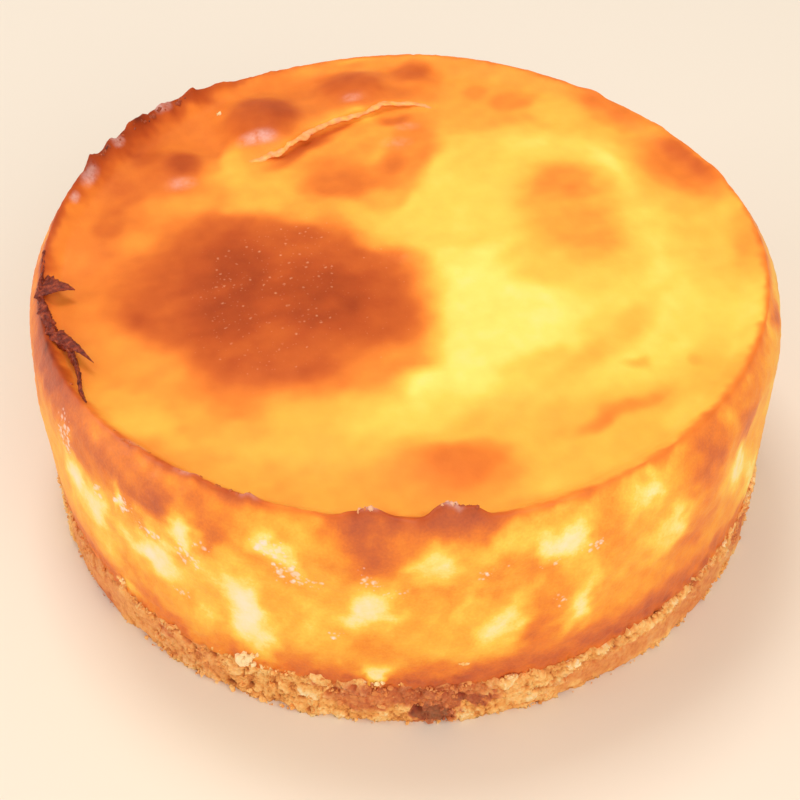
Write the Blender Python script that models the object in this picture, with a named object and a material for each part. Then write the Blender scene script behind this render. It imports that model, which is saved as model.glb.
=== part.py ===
"""Whole baked cheesecake: a browned cheese filling on a pressed biscuit base.

The cake was baked against the wall of a 15 cm round tin and stands on its flat underside.
The frame has its origin at the middle of that underside, with +Z up. The burnt skin is on
the left, at -X, and the two front nubs of the rim face -Y. Lengths are in metres.
"""

import math

import bmesh
import bpy
import numpy as np
from mathutils import Vector

MM = 0.001

# The driving dimensions of the cake.
CAKE_RADIUS = 75.0 * MM  # the tin's wall
RIM_RADIUS = 71.6 * MM  # the shoulder has drawn in from the tin
RIM_HEIGHT = 53.0 * MM  # mean height of the rim over the table
BASE_THICKNESS = 12.0 * MM  # mean height of the biscuit at the wall
SEAM = 0.3 * MM  # gap between the biscuit and the filling
SHOULDER_HEIGHT = 9.0 * MM  # how far under the rim the side starts to lean in
LIP_WIDTH = 3.2 * MM  # the slope from the rim's crest down to the top
LIP_DEPTH = 2.2 * MM
CROWN_RISE = 0.9 * MM  # the middle of the top stands over the trough behind the lip

# The rim's slow waves: (waves round the cake, height, angle of a crest in degrees).
RIM_WAVES = (
    (1, 0.75 * MM, 173),
    (2, 0.70 * MM, -59),
    (3, 0.40 * MM, 16),
    (4, 0.60 * MM, -24),
    (5, 0.45 * MM, 15),
)

# Nubs where batter stuck to the tin: (angle in degrees, height, half width along the rim).
RIM_NUBS = (
    (-97.8, 1.4 * MM, 2.0 * MM),
    (-95.1, 3.2 * MM, 2.1 * MM),
    (-92.7, 0.8 * MM, 2.0 * MM),
    (-90.0, 0.8 * MM, 4.5 * MM),
    (-86.4, 1.6 * MM, 1.5 * MM),
    (-84.5, 4.5 * MM, 2.1 * MM),
    (-81.2, 3.2 * MM, 2.3 * MM),
    (-112.0, 0.9 * MM, 1.1 * MM),
    (-120.5, 0.7 * MM, 1.1 * MM),
    (134.0, 1.0 * MM, 15.0 * MM),
    (124.5, 0.7 * MM, 2.4 * MM),
    (130.5, 1.2 * MM, 2.2 * MM),
    (137.0, 0.8 * MM, 2.0 * MM),
    (143.5, 1.2 * MM, 2.6 * MM),
    (150.5, 0.9 * MM, 1.6 * MM),
    (155.5, 1.3 * MM, 1.9 * MM),
)
NUB_HALF_DEPTH = 1.9 * MM  # across the rim

# Blisters in the top skin: (x, y, radius, rise).
BLISTERS = (
    (-31.0 * MM, 48.0 * MM, 9.5 * MM, 2.7 * MM),
    (-10.5 * MM, 60.5 * MM, 7.5 * MM, 1.5 * MM),
    (-47.5 * MM, 31.5 * MM, 7.0 * MM, 1.4 * MM),
    (3.0 * MM, 63.5 * MM, 5.0 * MM, 0.9 * MM),
    (-20.0 * MM, -12.0 * MM, 32.0 * MM, 0.7 * MM),
    (34.0 * MM, 11.0 * MM, 20.0 * MM, 0.5 * MM),
    (8.0 * MM, -56.0 * MM, 10.0 * MM, 0.5 * MM),
)

# The fold in the skin at the back left, an uneven arc round a point of the top.
FOLD_CENTRE = (8.0 * MM, -2.0 * MM)
FOLD_ANGLES = (88.0, 96.0, 101.0, 105.5, 110.0, 114.0, 119.0, 124.5, 131.5, 137.0, 141.0)
FOLD_RADII = tuple(
    radius * MM for radius in (55.3, 54.8, 54.5, 53.7, 53.4, 53.9, 54.8, 53.0, 51.3, 52.0, 55.6)
)
FOLD_HALF_WIDTH = 1.7 * MM
FOLD_HALF_HEIGHT = 1.0 * MM
SWELL_RISE = 1.3 * MM  # the skin behind the fold has swollen
SWELL_EDGE = 2.4 * MM

# The burnt skin along the left of the rim leans in over the top between these angles.
BURNT_ANGLES = (-182.0, -175.0, -168.0, -162.0, -155.0, -147.0, -141.0)
BURNT_RADII = (71.4 * MM, 70.8 * MM, 70.9 * MM, 69.8 * MM, 68.3 * MM, 70.2 * MM, 71.4 * MM)
BURNT_HALF_WIDTH = 1.0 * MM
BURNT_HALF_HEIGHT = 1.6 * MM
# The shards that stick out of it: (angle and radius of the foot, the same of the tip,
# half width of the foot).
SHARDS = (
    (-174.5, 71.4 * MM, -172.1, 64.4 * MM, 3.1 * MM),
    (-165.0, 69.8 * MM, -152.8, 64.9 * MM, 1.8 * MM),
)
SHARD_HALF_THICKNESS = 0.55 * MM
SHARD_LIFT = 1.3 * MM

# The biscuit base: its wavy top edge and its crumbs.
SEAT_WAVES = (
    (1, 0.6 * MM, -50),
    (7, 0.35 * MM, -98),
)
CRUMB_RELIEF = 0.45 * MM
CRUMB_PITCH = 3.4 * MM
WALL_SET_BACK = 0.5 * MM  # the crumbs stand out of the wall by as much
FOOT_TUCK = 0.9 * MM  # the base's lower edge has crumbled back by this much
CRUMB_SIZES = (0.9 * MM, 1.8 * MM)
CRUMB_COUNT = 96
CRUMB_SEED = 15

# The plain section's own steps, before the filling's even parts are thinned out.
FILLING_TURNS = 300
BASE_TURNS = 168
SIDE_RINGS = 9
SHOULDER_RINGS = 7
LIP_RINGS = 6
TOP_RINGS = 24
FILLING_FACES_KEPT = 0.215
SIDE_WANDER = 0.5 * MM
SIDE_WANDER_PITCH = 26.0 * MM
TOP_WANDER = 0.35 * MM
TOP_WANDER_PITCH = 24.0 * MM


def smooth(share):
    """Rises smoothly from 0 to 1 while share goes from 0 to 1."""
    share = np.clip(share, 0.0, 1.0)
    return share * share * (3.0 - 2.0 * share)


def waves(table, angle):
    """The sum of a table's cosine waves at an angle in radians."""
    return sum(rise * np.cos(count * (angle - math.radians(crest))) for count, rise, crest in table)


def wander(x, y, z, pitch, seed):
    """A soft random surface between about -1 and 1, the sum of 24 slanting waves."""
    draw = np.random.default_rng(seed)
    total = 0.0
    for _ in range(24):
        slant = draw.normal(size=3)
        slant *= math.tau / pitch * draw.uniform(0.6, 1.6) / np.linalg.norm(slant)
        total = total + np.cos(x * slant[0] + y * slant[1] + z * slant[2] + draw.uniform(0.0, math.tau))
    return total / math.sqrt(24.0)


def nub_rise(radius, angle):
    """Height of the nubs over the rim."""
    rise = 0.0
    for degrees, height, half_width in RIM_NUBS:
        turn = (angle - math.radians(degrees) + math.pi) % math.tau - math.pi
        along, across = turn * RIM_RADIUS / half_width, (radius - RIM_RADIUS) / NUB_HALF_DEPTH
        rise = rise + height * np.exp(-(along**2) - across**2)
    return rise


def seat_height(radius, angle):
    """Height of the joint between the biscuit and the filling, which waves at the wall."""
    return BASE_THICKNESS + waves(SEAT_WAVES, angle) * radius / CAKE_RADIUS


def fold_radius(degrees):
    """Distance of the fold from its centre in a direction."""
    return np.interp(degrees, FOLD_ANGLES, FOLD_RADII)


def swell(x, y):
    """Rise of the swollen skin between the fold and the rim."""
    dx, dy = x - FOLD_CENTRE[0], y - FOLD_CENTRE[1]
    degrees = np.degrees(np.arctan2(dy, dx))
    along = (degrees - FOLD_ANGLES[0]) / (FOLD_ANGLES[-1] - FOLD_ANGLES[0])
    ends = smooth(along / 0.3) * smooth((1.0 - along) / 0.25)
    across = (np.hypot(dx, dy) - fold_radius(degrees)) / SWELL_EDGE
    fade = 1.0 - smooth((across - 0.5) / 5.0)
    return SWELL_RISE * ends * smooth(0.5 + across) * fade


def top_relief(x, y):
    """Height of the blisters, the swollen skin and the gentle wander of the top."""
    rise = swell(x, y) + TOP_WANDER * wander(x, y, 0.0, TOP_WANDER_PITCH, 3)
    for centre_x, centre_y, radius, height in BLISTERS:
        distance = np.hypot(x - centre_x, y - centre_y) / radius
        rise = rise + height * np.exp(-2.2 * distance**2)
    return rise * smooth((RIM_RADIUS - np.hypot(x, y)) / LIP_WIDTH)


def top_fall(radius):
    """How far the plain top lies under the rim: the lip's slope, then the crown's rise."""
    inwards = RIM_RADIUS - radius
    lip = LIP_DEPTH * smooth(inwards / LIP_WIDTH)
    return lip - CROWN_RISE * smooth((inwards - LIP_WIDTH) / (0.45 * RIM_RADIUS))


def top_height(x, y):
    """Height of the top skin over the table."""
    radius, angle = np.hypot(x, y), np.arctan2(y, x)
    slow = waves(RIM_WAVES, angle) * np.clip(radius / RIM_RADIUS, 0.0, 1.0) ** 5
    return RIM_HEIGHT - top_fall(radius) + slow + nub_rise(radius, angle) + top_relief(x, y)


def filling_outline():
    """The filling's plain half section, from the middle of its underside round to its crown."""
    foot = BASE_THICKNESS + SEAM
    shoulder = RIM_HEIGHT - SHOULDER_HEIGHT
    outline = [(0.0, foot), (0.5 * CAKE_RADIUS, foot), (CAKE_RADIUS - 1.3 * MM, foot)]
    for step in range(SIDE_RINGS):
        share = step / SIDE_RINGS
        tuck = 0.6 * MM * (1.0 - smooth(4.0 * share))
        outline.append((CAKE_RADIUS - tuck, foot + 0.7 * MM + (shoulder - foot - 0.7 * MM) * share))
    for step in range(SHOULDER_RINGS):
        share = 1.0 - (1.0 - step / SHOULDER_RINGS) ** 1.5
        lean = (CAKE_RADIUS - RIM_RADIUS - 0.3 * MM) * share**2
        outline.append((CAKE_RADIUS - lean, shoulder + (SHOULDER_HEIGHT - 0.3 * MM) * share))
    outline.append((RIM_RADIUS, RIM_HEIGHT))
    for step in range(1, LIP_RINGS + 1):
        radius = RIM_RADIUS - LIP_WIDTH * step / LIP_RINGS
        outline.append((radius, RIM_HEIGHT - top_fall(radius)))
    inner = RIM_RADIUS - LIP_WIDTH
    for step in range(1, TOP_RINGS + 1):
        radius = inner * (1.0 - step / TOP_RINGS)
        outline.append((radius, RIM_HEIGHT - top_fall(radius)))
    return outline


def filling_relief(x, y, z):
    """Moves points of the plain turned filling to their places on the real, uneven one."""
    radius, angle = np.hypot(x, y), np.arctan2(y, x)
    foot = BASE_THICKNESS + SEAM
    up = np.clip((z - foot) / (RIM_HEIGHT - foot), 0.0, 1.0)
    on_top = (up > 0.5) & (radius <= RIM_RADIUS + 1e-6)
    below = np.exp(-(((RIM_HEIGHT - z) / (3.0 * MM)) ** 2))
    side = z + (seat_height(radius, angle) - BASE_THICKNESS) * (1.0 - up)
    side = side + waves(RIM_WAVES, angle) * smooth(up) + nub_rise(RIM_RADIUS, angle) * below
    bulge = SIDE_WANDER * wander(x, y, z, SIDE_WANDER_PITCH, 8) * np.sin(math.pi * up) * (radius > RIM_RADIUS)
    swelled = 1.0 + bulge / CAKE_RADIUS
    return x * swelled, y * swelled, np.where(on_top, top_height(x, y), side)


def base_outline():
    """The base's plain half section, from the middle of its underside round to its top."""
    outline = [(0.0, 0.0), (0.35 * CAKE_RADIUS, 0.0)]
    for share in (0.0, 0.2, 0.5, 0.8, 1.0):
        tuck = FOOT_TUCK * (1.0 - smooth(3.0 * share)) + 0.5 * MM * smooth((share - 0.8) / 0.2)
        outline.append((CAKE_RADIUS - tuck, BASE_THICKNESS * share))
    return outline + [(0.5 * CAKE_RADIUS, BASE_THICKNESS), (0.0, BASE_THICKNESS)]


def base_relief(x, y, z):
    """Moves points of the plain base to their places: a wavy seat, a wall of pressed crumbs."""
    radius, angle = np.hypot(x, y), np.arctan2(y, x)
    height = z * seat_height(radius, angle) / BASE_THICKNESS
    grain = wander(x, y, z, CRUMB_PITCH, 21) + 0.6 * wander(x, y, z, 0.5 * CRUMB_PITCH, 22)
    crumbled = 1.0 + (radius > 0.9 * CAKE_RADIUS) * (CRUMB_RELIEF * grain - WALL_SET_BACK) / CAKE_RADIUS
    return x * crumbled, y * crumbled, height


def finished(name, body):
    """Turns a bmesh into a linked object with its faces out and split into triangles."""
    bmesh.ops.recalc_face_normals(body, faces=body.faces)
    bmesh.ops.triangulate(body, faces=body.faces)
    mesh = bpy.data.meshes.new(name)
    body.to_mesh(mesh)
    body.free()
    piece = bpy.data.objects.new(name, mesh)
    bpy.context.scene.collection.objects.link(piece)
    return piece


def turned_body(name, outline, steps, relief):
    """Spins a half section round Z into a closed body, then moves its points by the relief."""
    body = bmesh.new()
    points = [body.verts.new((radius, 0.0, height)) for radius, height in outline]
    edges = [body.edges.new(pair) for pair in zip(points, points[1:])]
    bmesh.ops.spin(body, geom=points + edges, cent=(0, 0, 0), axis=(0, 0, 1), angle=math.tau, steps=steps)
    bmesh.ops.remove_doubles(body, verts=body.verts, dist=1e-6)
    places = np.array([vertex.co for vertex in body.verts])
    moved = np.stack(relief(*places.T), axis=1)
    for vertex, place in zip(body.verts, moved):
        vertex.co = place
    return finished(name, body)


def swept_ridge(name, path, half_widths, half_heights, sides):
    """A closed ridge along a path, with an oval section of the given half sizes at each point."""
    body = bmesh.new()
    rings = []
    for step, centre in enumerate(path):
        ahead = path[min(step + 1, len(path) - 1)] - path[max(step - 1, 0)]
        across = ahead.cross(Vector((0, 0, 1))).normalized()
        up = across.cross(ahead).normalized()
        ring = []
        for side in range(sides):
            turn = math.tau * side / sides
            wide, high = half_widths[step] * math.cos(turn), half_heights[step] * math.sin(turn)
            ring.append(body.verts.new(centre + across * wide + up * high))
        rings.append(ring)
    for ring, following in zip(rings, rings[1:]):
        for side in range(sides):
            after = (side + 1) % sides
            body.faces.new((ring[side], ring[after], following[after], following[side]))
    body.faces.new(rings[0])
    body.faces.new(rings[-1])
    return finished(name, body)


def fading(steps, end, power):
    """Shares along a ridge that rise from end to 1 in its middle and fall to end again."""
    return end + (1.0 - end) * np.sin(np.linspace(0.0, math.pi, steps)) ** power


def skin_fold():
    """The crest of the fold, a low ridge that fades at both ends."""
    degrees = np.linspace(FOLD_ANGLES[0] + 1.5, FOLD_ANGLES[-1] - 1.5, 29)
    x = FOLD_CENTRE[0] + fold_radius(degrees) * np.cos(np.radians(degrees))
    y = FOLD_CENTRE[1] + fold_radius(degrees) * np.sin(np.radians(degrees))
    path = [Vector(point) for point in zip(x, y, top_height(x, y) - 0.3 * MM)]
    fade = fading(29, 0.25, 0.6)
    return swept_ridge("fold", path, FOLD_HALF_WIDTH * fade, FOLD_HALF_HEIGHT * fade, 8)


def burnt_edge():
    """The burnt skin that stands up ragged along the left of the rim."""
    degrees = np.linspace(BURNT_ANGLES[0], BURNT_ANGLES[-1], 33)
    angles = np.radians(degrees)
    radii = np.interp(degrees, BURNT_ANGLES, BURNT_RADII) + 0.25 * MM * np.sin(31.0 * angles)
    heights = RIM_HEIGHT + waves(RIM_WAVES, angles) + 0.3 * MM * np.sin(47.0 * angles) - 0.2 * MM
    path = [Vector(point) for point in zip(radii * np.cos(angles), radii * np.sin(angles), heights)]
    fade = fading(33, 0.3, 0.5)
    return swept_ridge("burnt", path, BURNT_HALF_WIDTH * fade, BURNT_HALF_HEIGHT * fade, 6)


def burnt_shard(foot_degrees, foot_radius, tip_degrees, tip_radius, half_width):
    """A thin shard of burnt skin, from the rim to a tip that hangs over the top."""
    share = np.linspace(0.0, 1.0, 9)
    angles = np.radians(foot_degrees + (tip_degrees - foot_degrees) * share)
    radii = foot_radius + (tip_radius - foot_radius) * share**1.3
    heights = RIM_HEIGHT + waves(RIM_WAVES, angles) + SHARD_LIFT * np.sin(2.2 * share) - 0.1 * MM
    path = [Vector(point) for point in zip(radii * np.cos(angles), radii * np.sin(angles), heights)]
    taper = half_width * (1.0 - share) ** 0.7 + 0.15 * MM
    thin = SHARD_HALF_THICKNESS * (1.0 - 0.6 * share)
    return swept_ridge("shard", path, taper, thin, 6)


def crumbs():
    """Crumbs half sunk in the base's wall, each an uneven lump."""
    draw = np.random.default_rng(CRUMB_SEED)
    lumps = []
    for number in range(CRUMB_COUNT):
        angle = math.tau * (number + draw.uniform(-0.4, 0.4)) / CRUMB_COUNT
        size = draw.uniform(*CRUMB_SIZES)
        lowest = 1.25 * size
        highest = seat_height(CAKE_RADIUS, angle) - SEAM - 1.25 * size
        height = lowest + (highest - lowest) * draw.random() ** 1.5
        radius = CAKE_RADIUS - WALL_SET_BACK - 0.45 * size
        centre = Vector((radius * math.cos(angle), radius * math.sin(angle), height))
        lump = bmesh.new()
        bmesh.ops.create_icosphere(lump, subdivisions=1, radius=size)
        for vertex in lump.verts:
            vertex.co = vertex.co * draw.uniform(0.75, 1.15) + centre
        lumps.append(finished("crumb", lump))
    return lumps


def apply_modifiers(body):
    """Replaces the body's mesh by what its modifiers make of it."""
    graph = bpy.context.evaluated_depsgraph_get()
    made = bpy.data.meshes.new_from_object(body.evaluated_get(graph))
    body.modifiers.clear()
    body.data = made


def fuse(body, lumps):
    """Joins the lumps into the body with one Boolean union and removes them."""
    group = bpy.data.collections.new("lumps")
    bpy.context.scene.collection.children.link(group)
    for lump in lumps:
        bpy.context.scene.collection.objects.unlink(lump)
        group.objects.link(lump)
    union = body.modifiers.new("fuse", "BOOLEAN")
    union.operation = "UNION"
    union.operand_type = "COLLECTION"
    union.collection = group
    union.solver = "EXACT"
    apply_modifiers(body)
    for lump in lumps:
        bpy.data.objects.remove(lump)
    bpy.data.collections.remove(group)


def thin_out(body, share):
    """Leaves this share of the body's faces, fewest where it is flat."""
    decimate = body.modifiers.new("thin", "DECIMATE")
    decimate.ratio = share
    apply_modifiers(body)


def paint(body, colour, roughness):
    """Gives a body its plain material and smooth shading with sharp crags."""
    material = bpy.data.materials.new(body.name)
    material.use_nodes = True
    shader = material.node_tree.nodes["Principled BSDF"]
    shader.inputs["Base Color"].default_value = (*colour, 1.0)
    shader.inputs["Roughness"].default_value = roughness
    shader.inputs["Metallic"].default_value = 0.0
    body.data.materials.clear()
    body.data.materials.append(material)
    body.data.shade_smooth()
    body.data.set_sharp_from_angle(angle=math.radians(40))


def cheese_filling():
    """The baked filling with its fold, burnt edge and shards fused on."""
    filling = turned_body("cheese_filling", filling_outline(), FILLING_TURNS, filling_relief)
    thin_out(filling, FILLING_FACES_KEPT)
    fuse(filling, [skin_fold(), burnt_edge()] + [burnt_shard(*shard) for shard in SHARDS])
    paint(filling, (0.92, 0.47, 0.10), 0.4)
    return filling


def biscuit_base():
    """The pressed biscuit base with its crumbs fused on."""
    base = turned_body("biscuit_base", base_outline(), BASE_TURNS, base_relief)
    fuse(base, crumbs())
    paint(base, (0.60, 0.32, 0.13), 0.85)
    return base


for left_over in list(bpy.data.objects):
    bpy.data.objects.remove(left_over)
cheese_filling()
biscuit_base()
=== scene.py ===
"""Looks of a whole baked cheesecake: browned custard, burnt skin, a pressed biscuit base and crumbs."""

import math

import bpy
import numpy as np
from mathutils import Matrix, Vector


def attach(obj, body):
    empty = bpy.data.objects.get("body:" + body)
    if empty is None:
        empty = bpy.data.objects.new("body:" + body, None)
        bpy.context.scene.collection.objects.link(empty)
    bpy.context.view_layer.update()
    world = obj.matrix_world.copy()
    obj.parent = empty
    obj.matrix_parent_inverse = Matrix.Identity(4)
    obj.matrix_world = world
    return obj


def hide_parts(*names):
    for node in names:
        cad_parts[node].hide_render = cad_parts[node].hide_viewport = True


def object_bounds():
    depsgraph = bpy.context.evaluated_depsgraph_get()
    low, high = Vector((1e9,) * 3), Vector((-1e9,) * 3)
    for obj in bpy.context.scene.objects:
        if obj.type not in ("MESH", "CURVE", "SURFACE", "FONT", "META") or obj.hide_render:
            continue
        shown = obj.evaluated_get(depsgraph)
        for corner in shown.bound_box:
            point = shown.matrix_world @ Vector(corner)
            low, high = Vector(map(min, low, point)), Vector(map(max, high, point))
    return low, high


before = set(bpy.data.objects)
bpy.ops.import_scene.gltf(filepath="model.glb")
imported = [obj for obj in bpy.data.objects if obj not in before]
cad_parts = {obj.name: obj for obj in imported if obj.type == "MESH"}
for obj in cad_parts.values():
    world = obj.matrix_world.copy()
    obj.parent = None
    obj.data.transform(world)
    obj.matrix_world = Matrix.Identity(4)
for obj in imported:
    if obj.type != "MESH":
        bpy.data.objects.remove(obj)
cad_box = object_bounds()
lowest, highest = (np.array(corner) for corner in cad_box)

MM = 0.001

# ---------------------------------------------------------------------------------------------
# The studio. A pale table, a soft lamp over the back of the cake, a window at its left, a large
# weak fill at the front right and an even pale surround. The camera looks down on the front.

CAMERA_PLACE = (0.0, -0.26342, 0.26601)
CAMERA_DIP = math.radians(43.85)  # below the horizon
CAMERA_TURN = math.radians(0.27)  # to the left
CAMERA_ROLL = math.radians(-1.04)
CAMERA_LENS = 76.57  # millimetres, on a sensor 36 mm wide
LAMP_AIM = 0.03  # height over the table that every lamp faces
TABLE_HALF = 1.5

camera_data = bpy.data.cameras.new("camera")
camera_data.lens = CAMERA_LENS
camera_data.sensor_width = 36.0
camera = bpy.data.objects.new("camera", camera_data)
bpy.context.scene.collection.objects.link(camera)
bpy.context.scene.camera = camera
aim = Matrix.Rotation(CAMERA_TURN, 4, "Z") @ Matrix.Rotation(math.pi / 2 - CAMERA_DIP, 4, "X")
camera.matrix_world = Matrix.Translation(CAMERA_PLACE) @ aim @ Matrix.Rotation(CAMERA_ROLL, 4, "Z")


def soft_light(name, place, size, watts, colour):
    """A square lamp at place, facing the middle of the cake."""
    lamp = bpy.data.lights.new(name, "AREA")
    lamp.shape = "SQUARE"
    lamp.size = size
    lamp.energy = watts
    lamp.color = colour
    light = bpy.data.objects.new(name, lamp)
    bpy.context.scene.collection.objects.link(light)
    light.location = place
    away = light.location.copy()
    away.z -= LAMP_AIM
    light.rotation_euler = away.to_track_quat("Z", "Y").to_euler()


soft_light("back_top", (-0.12, 0.34, 1.02), 0.34, 3.8, (1.0, 0.96, 0.97))
soft_light("left_window", (-1.05, -0.10, 0.34), 0.60, 3.4, (1.0, 0.96, 0.95))
soft_light("front_fill", (0.48, -0.92, 0.85), 1.00, 8.6, (1.0, 0.97, 0.92))

surround = bpy.data.worlds.new("surround")
surround.use_nodes = True
background = surround.node_tree.nodes["Background"]
background.inputs["Color"].default_value = (1.0, 0.97, 0.93, 1.0)
background.inputs["Strength"].default_value = 0.55
bpy.context.scene.world = surround
bpy.context.scene.view_settings.view_transform = "Standard"

table_mesh = bpy.data.meshes.new("table")
corners = [(x * TABLE_HALF, y * TABLE_HALF, 0.0) for x, y in ((-1, -1), (1, -1), (1, 1), (-1, 1))]
table_mesh.from_pydata(corners, [], [(0, 1, 2, 3)])
table = bpy.data.objects.new("table", table_mesh)
bpy.context.scene.collection.objects.link(table)

# ---------------------------------------------------------------------------------------------
# The cheese filling. Cream cheese custard that rose and browned in a round tin and sank again,
# which left a thin rim, a fold and blisters. It is one closed turned surface, moved by its
# relief; its browning is worked out from soft ovals and kept as an attribute for the material.

CAKE_RADIUS = 75.0 * MM  # the tin's wall
RIM_RADIUS = 71.6 * MM
RIM_HEIGHT = 53.0 * MM
BASE_THICKNESS = 12.0 * MM
SHOULDER_HEIGHT = 9.0 * MM
LIP_WIDTH = 3.2 * MM
LIP_DEPTH = 2.2 * MM
BACK_LIP_WIDTH = 7.0 * MM  # the lip is wider and shallower at the back right
BACK_LIP_DEPTH = 1.5 * MM
BACK_LIP_ANGLE = 62
CROWN_RISE = 0.9 * MM
CROWN_WIDTH = 0.45 * RIM_RADIUS  # over which the top rises again behind the lip
FOOT_OVERLAP = 2.6 * MM  # the custard's wall runs down behind the ragged top of the biscuit
FOOT_ROUNDING = 0.8 * MM

# (waves round the cake, height in millimetres, angle of a crest in degrees)
RIM_WAVES = ((1, 0.75, 173), (2, 0.70, -59), (3, 0.40, 16), (4, 0.60, -24), (5, 0.45, 15))
SEAT_WAVES = ((1, 0.6, -50), (7, 0.35, -98))
# (angle in degrees, height and half width along the rim in millimetres)
RIM_NUBS = (
    (-97.8, 1.4, 2.0),
    (-95.1, 3.2, 2.1),
    (-92.7, 0.8, 2.0),
    (-90.0, 0.8, 4.5),
    (-86.4, 1.6, 1.5),
    (-84.5, 4.5, 2.1),
    (-81.2, 3.2, 2.3),
    (-112.0, 0.9, 1.1),
    (-120.5, 0.7, 1.1),
    (134.0, 1.0, 15.0),
    (124.5, 0.7, 2.4),
    (130.5, 1.2, 2.2),
    (137.0, 0.8, 2.0),
    (143.5, 1.2, 2.6),
    (150.5, 0.9, 1.6),
    (155.5, 1.3, 1.9),
)
NUB_HALF_DEPTH = 1.9 * MM
# (angle in degrees, height in millimetres) of the smallest peaks, all of one half width
RIM_THORNS = ((156.0, 0.9), (149.5, 0.4), (141.2, 0.7), (130.0, 0.6), (-118.6, 0.5))
THORN_HALF_WIDTH = 0.7 * MM
# (x, y, radius, rise) in millimetres
BLISTERS = (
    (-31.0, 47.5, 9.5, 2.3),
    (-10.5, 60.5, 7.5, 1.5),
    (-47.5, 31.5, 7.0, 1.4),
    (3.0, 63.5, 5.0, 0.9),
    (-20.0, -12.0, 32.0, 0.7),
    (34.0, 11.0, 20.0, 0.5),
    (8.0, -56.0, 10.0, 0.5),
)
FOLD_CENTRE = (8.0 * MM, -2.0 * MM)
FOLD_ANGLES = (88.0, 94.0, 98.4, 102.8, 106.2, 112.2, 118.3, 121.4, 126.5, 131.8, 136.3, 141.0)
FOLD_RADII = MM * np.array([54.0, 54.9, 55.6, 55.4, 54.5, 53.5, 52.7, 52.0, 51.2, 50.6, 52.2, 54.6])
SWELL_RISE = 1.7 * MM
SWELL_EDGE = 1.6 * MM
SWELL_WIDTH = 30.0 * MM
SIDE_WANDER = 0.5 * MM
SIDE_WANDER_PITCH = 26.0  # millimetres
TOP_WANDER = 0.35 * MM
TOP_WANDER_PITCH = 24.0
WANDER_WAVES = 24
TOP_RING_STEP = 0.62 * MM
FILLING_TURNS = 624


def smooth(share):
    """Rises smoothly from 0 to 1 while share goes from 0 to 1: 3 s^2 - 2 s^3."""
    share = np.clip(share, 0.0, 1.0)
    return share * share * (3.0 - 2.0 * share)


def hump(distance):
    """1 at no distance, falling to 0 on both sides: exp(-d^2)."""
    return np.exp(-(distance**2))


def waves(table, angle):
    """The sum over a table of rise * cos(count * (angle - crest))."""
    return sum(rise * MM * np.cos(count * (angle - math.radians(crest))) for count, rise, crest in table)


def wander(x, y, z, pitch, seed):
    """A soft random surface between about -1 and 1: the sum of slanting cosine waves, about a
    pitch in millimetres long, over the square root of their number."""
    draw = np.random.default_rng(seed)
    total = 0.0
    for _ in range(WANDER_WAVES):
        slant = draw.normal(size=3)
        slant *= math.tau / (pitch * MM) * draw.uniform(0.6, 1.6) / np.linalg.norm(slant)
        total = total + np.cos(x * slant[0] + y * slant[1] + z * slant[2] + draw.uniform(0.0, math.tau))
    return total / math.sqrt(WANDER_WAVES)


def wanders(x, y, z, *parts):
    """The sum of share * wander for parts given as (share, pitch, seed)."""
    return sum(share * wander(x, y, z, pitch, seed) for share, pitch, seed in parts)


def turn_between(angle, degrees):
    """The turn from a direction in degrees to each angle, in radians between -pi and pi."""
    return (angle - math.radians(degrees) + math.pi) % math.tau - math.pi


def wall_across(angle, degrees):
    """The way round the wall from a direction in degrees to each angle, in millimetres."""
    return turn_between(angle, degrees) * CAKE_RADIUS / MM


def round_at(radius, angle):
    """x and y at a distance from the cake's axis: radius * cos(angle), radius * sin(angle)."""
    return radius * np.cos(angle), radius * np.sin(angle)


def nub_rise(radius, angle):
    """Height of the nubs: each is rise * exp(-along^2 - across^2) about its place on the rim."""
    rise = 0.0
    for degrees, height, half_width in RIM_NUBS:
        along = turn_between(angle, degrees) * RIM_RADIUS / (half_width * MM)
        across = (radius - RIM_RADIUS) / NUB_HALF_DEPTH
        rise = rise + height * MM * np.exp(-(along**2) - across**2)
    return rise


def seat_height(radius, angle):
    """Height of the joint with the biscuit, whose waves grow from the middle to the wall."""
    return BASE_THICKNESS + waves(SEAT_WAVES, angle) * radius / CAKE_RADIUS


def fold_distance(x, y):
    """How far behind the fold's line a point lies, and the point's share along the fold."""
    from_x, from_y = x - FOLD_CENTRE[0], y - FOLD_CENTRE[1]
    degrees = np.degrees(np.arctan2(from_y, from_x))
    along = (degrees - FOLD_ANGLES[0]) / (FOLD_ANGLES[-1] - FOLD_ANGLES[0])
    return np.hypot(from_x, from_y) - np.interp(degrees, FOLD_ANGLES, FOLD_RADII), along


def fold_rise(x, y):
    """The swollen skin behind the fold: a smooth step up that falls away slowly behind."""
    behind, along = fold_distance(x, y)
    ends = smooth(along / 0.3) * smooth((1.0 - along) / 0.25)
    return SWELL_RISE * ends * smooth(0.5 + behind / SWELL_EDGE) * (1.0 - smooth(behind / SWELL_WIDTH))


def top_relief(x, y):
    """Fold, wander and blisters, each a dome rise * exp(-(1.1 d)^3.2), fading over the lip."""
    rise = fold_rise(x, y) + TOP_WANDER * wander(x, y, 0.0, TOP_WANDER_PITCH, 3)
    for centre_x, centre_y, radius, height in BLISTERS:
        distance = np.hypot(x - centre_x * MM, y - centre_y * MM) / (radius * MM)
        rise = rise + height * MM * np.exp(-((1.1 * distance) ** 3.2))
    return rise * smooth((RIM_RADIUS - np.hypot(x, y)) / LIP_WIDTH)


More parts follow.
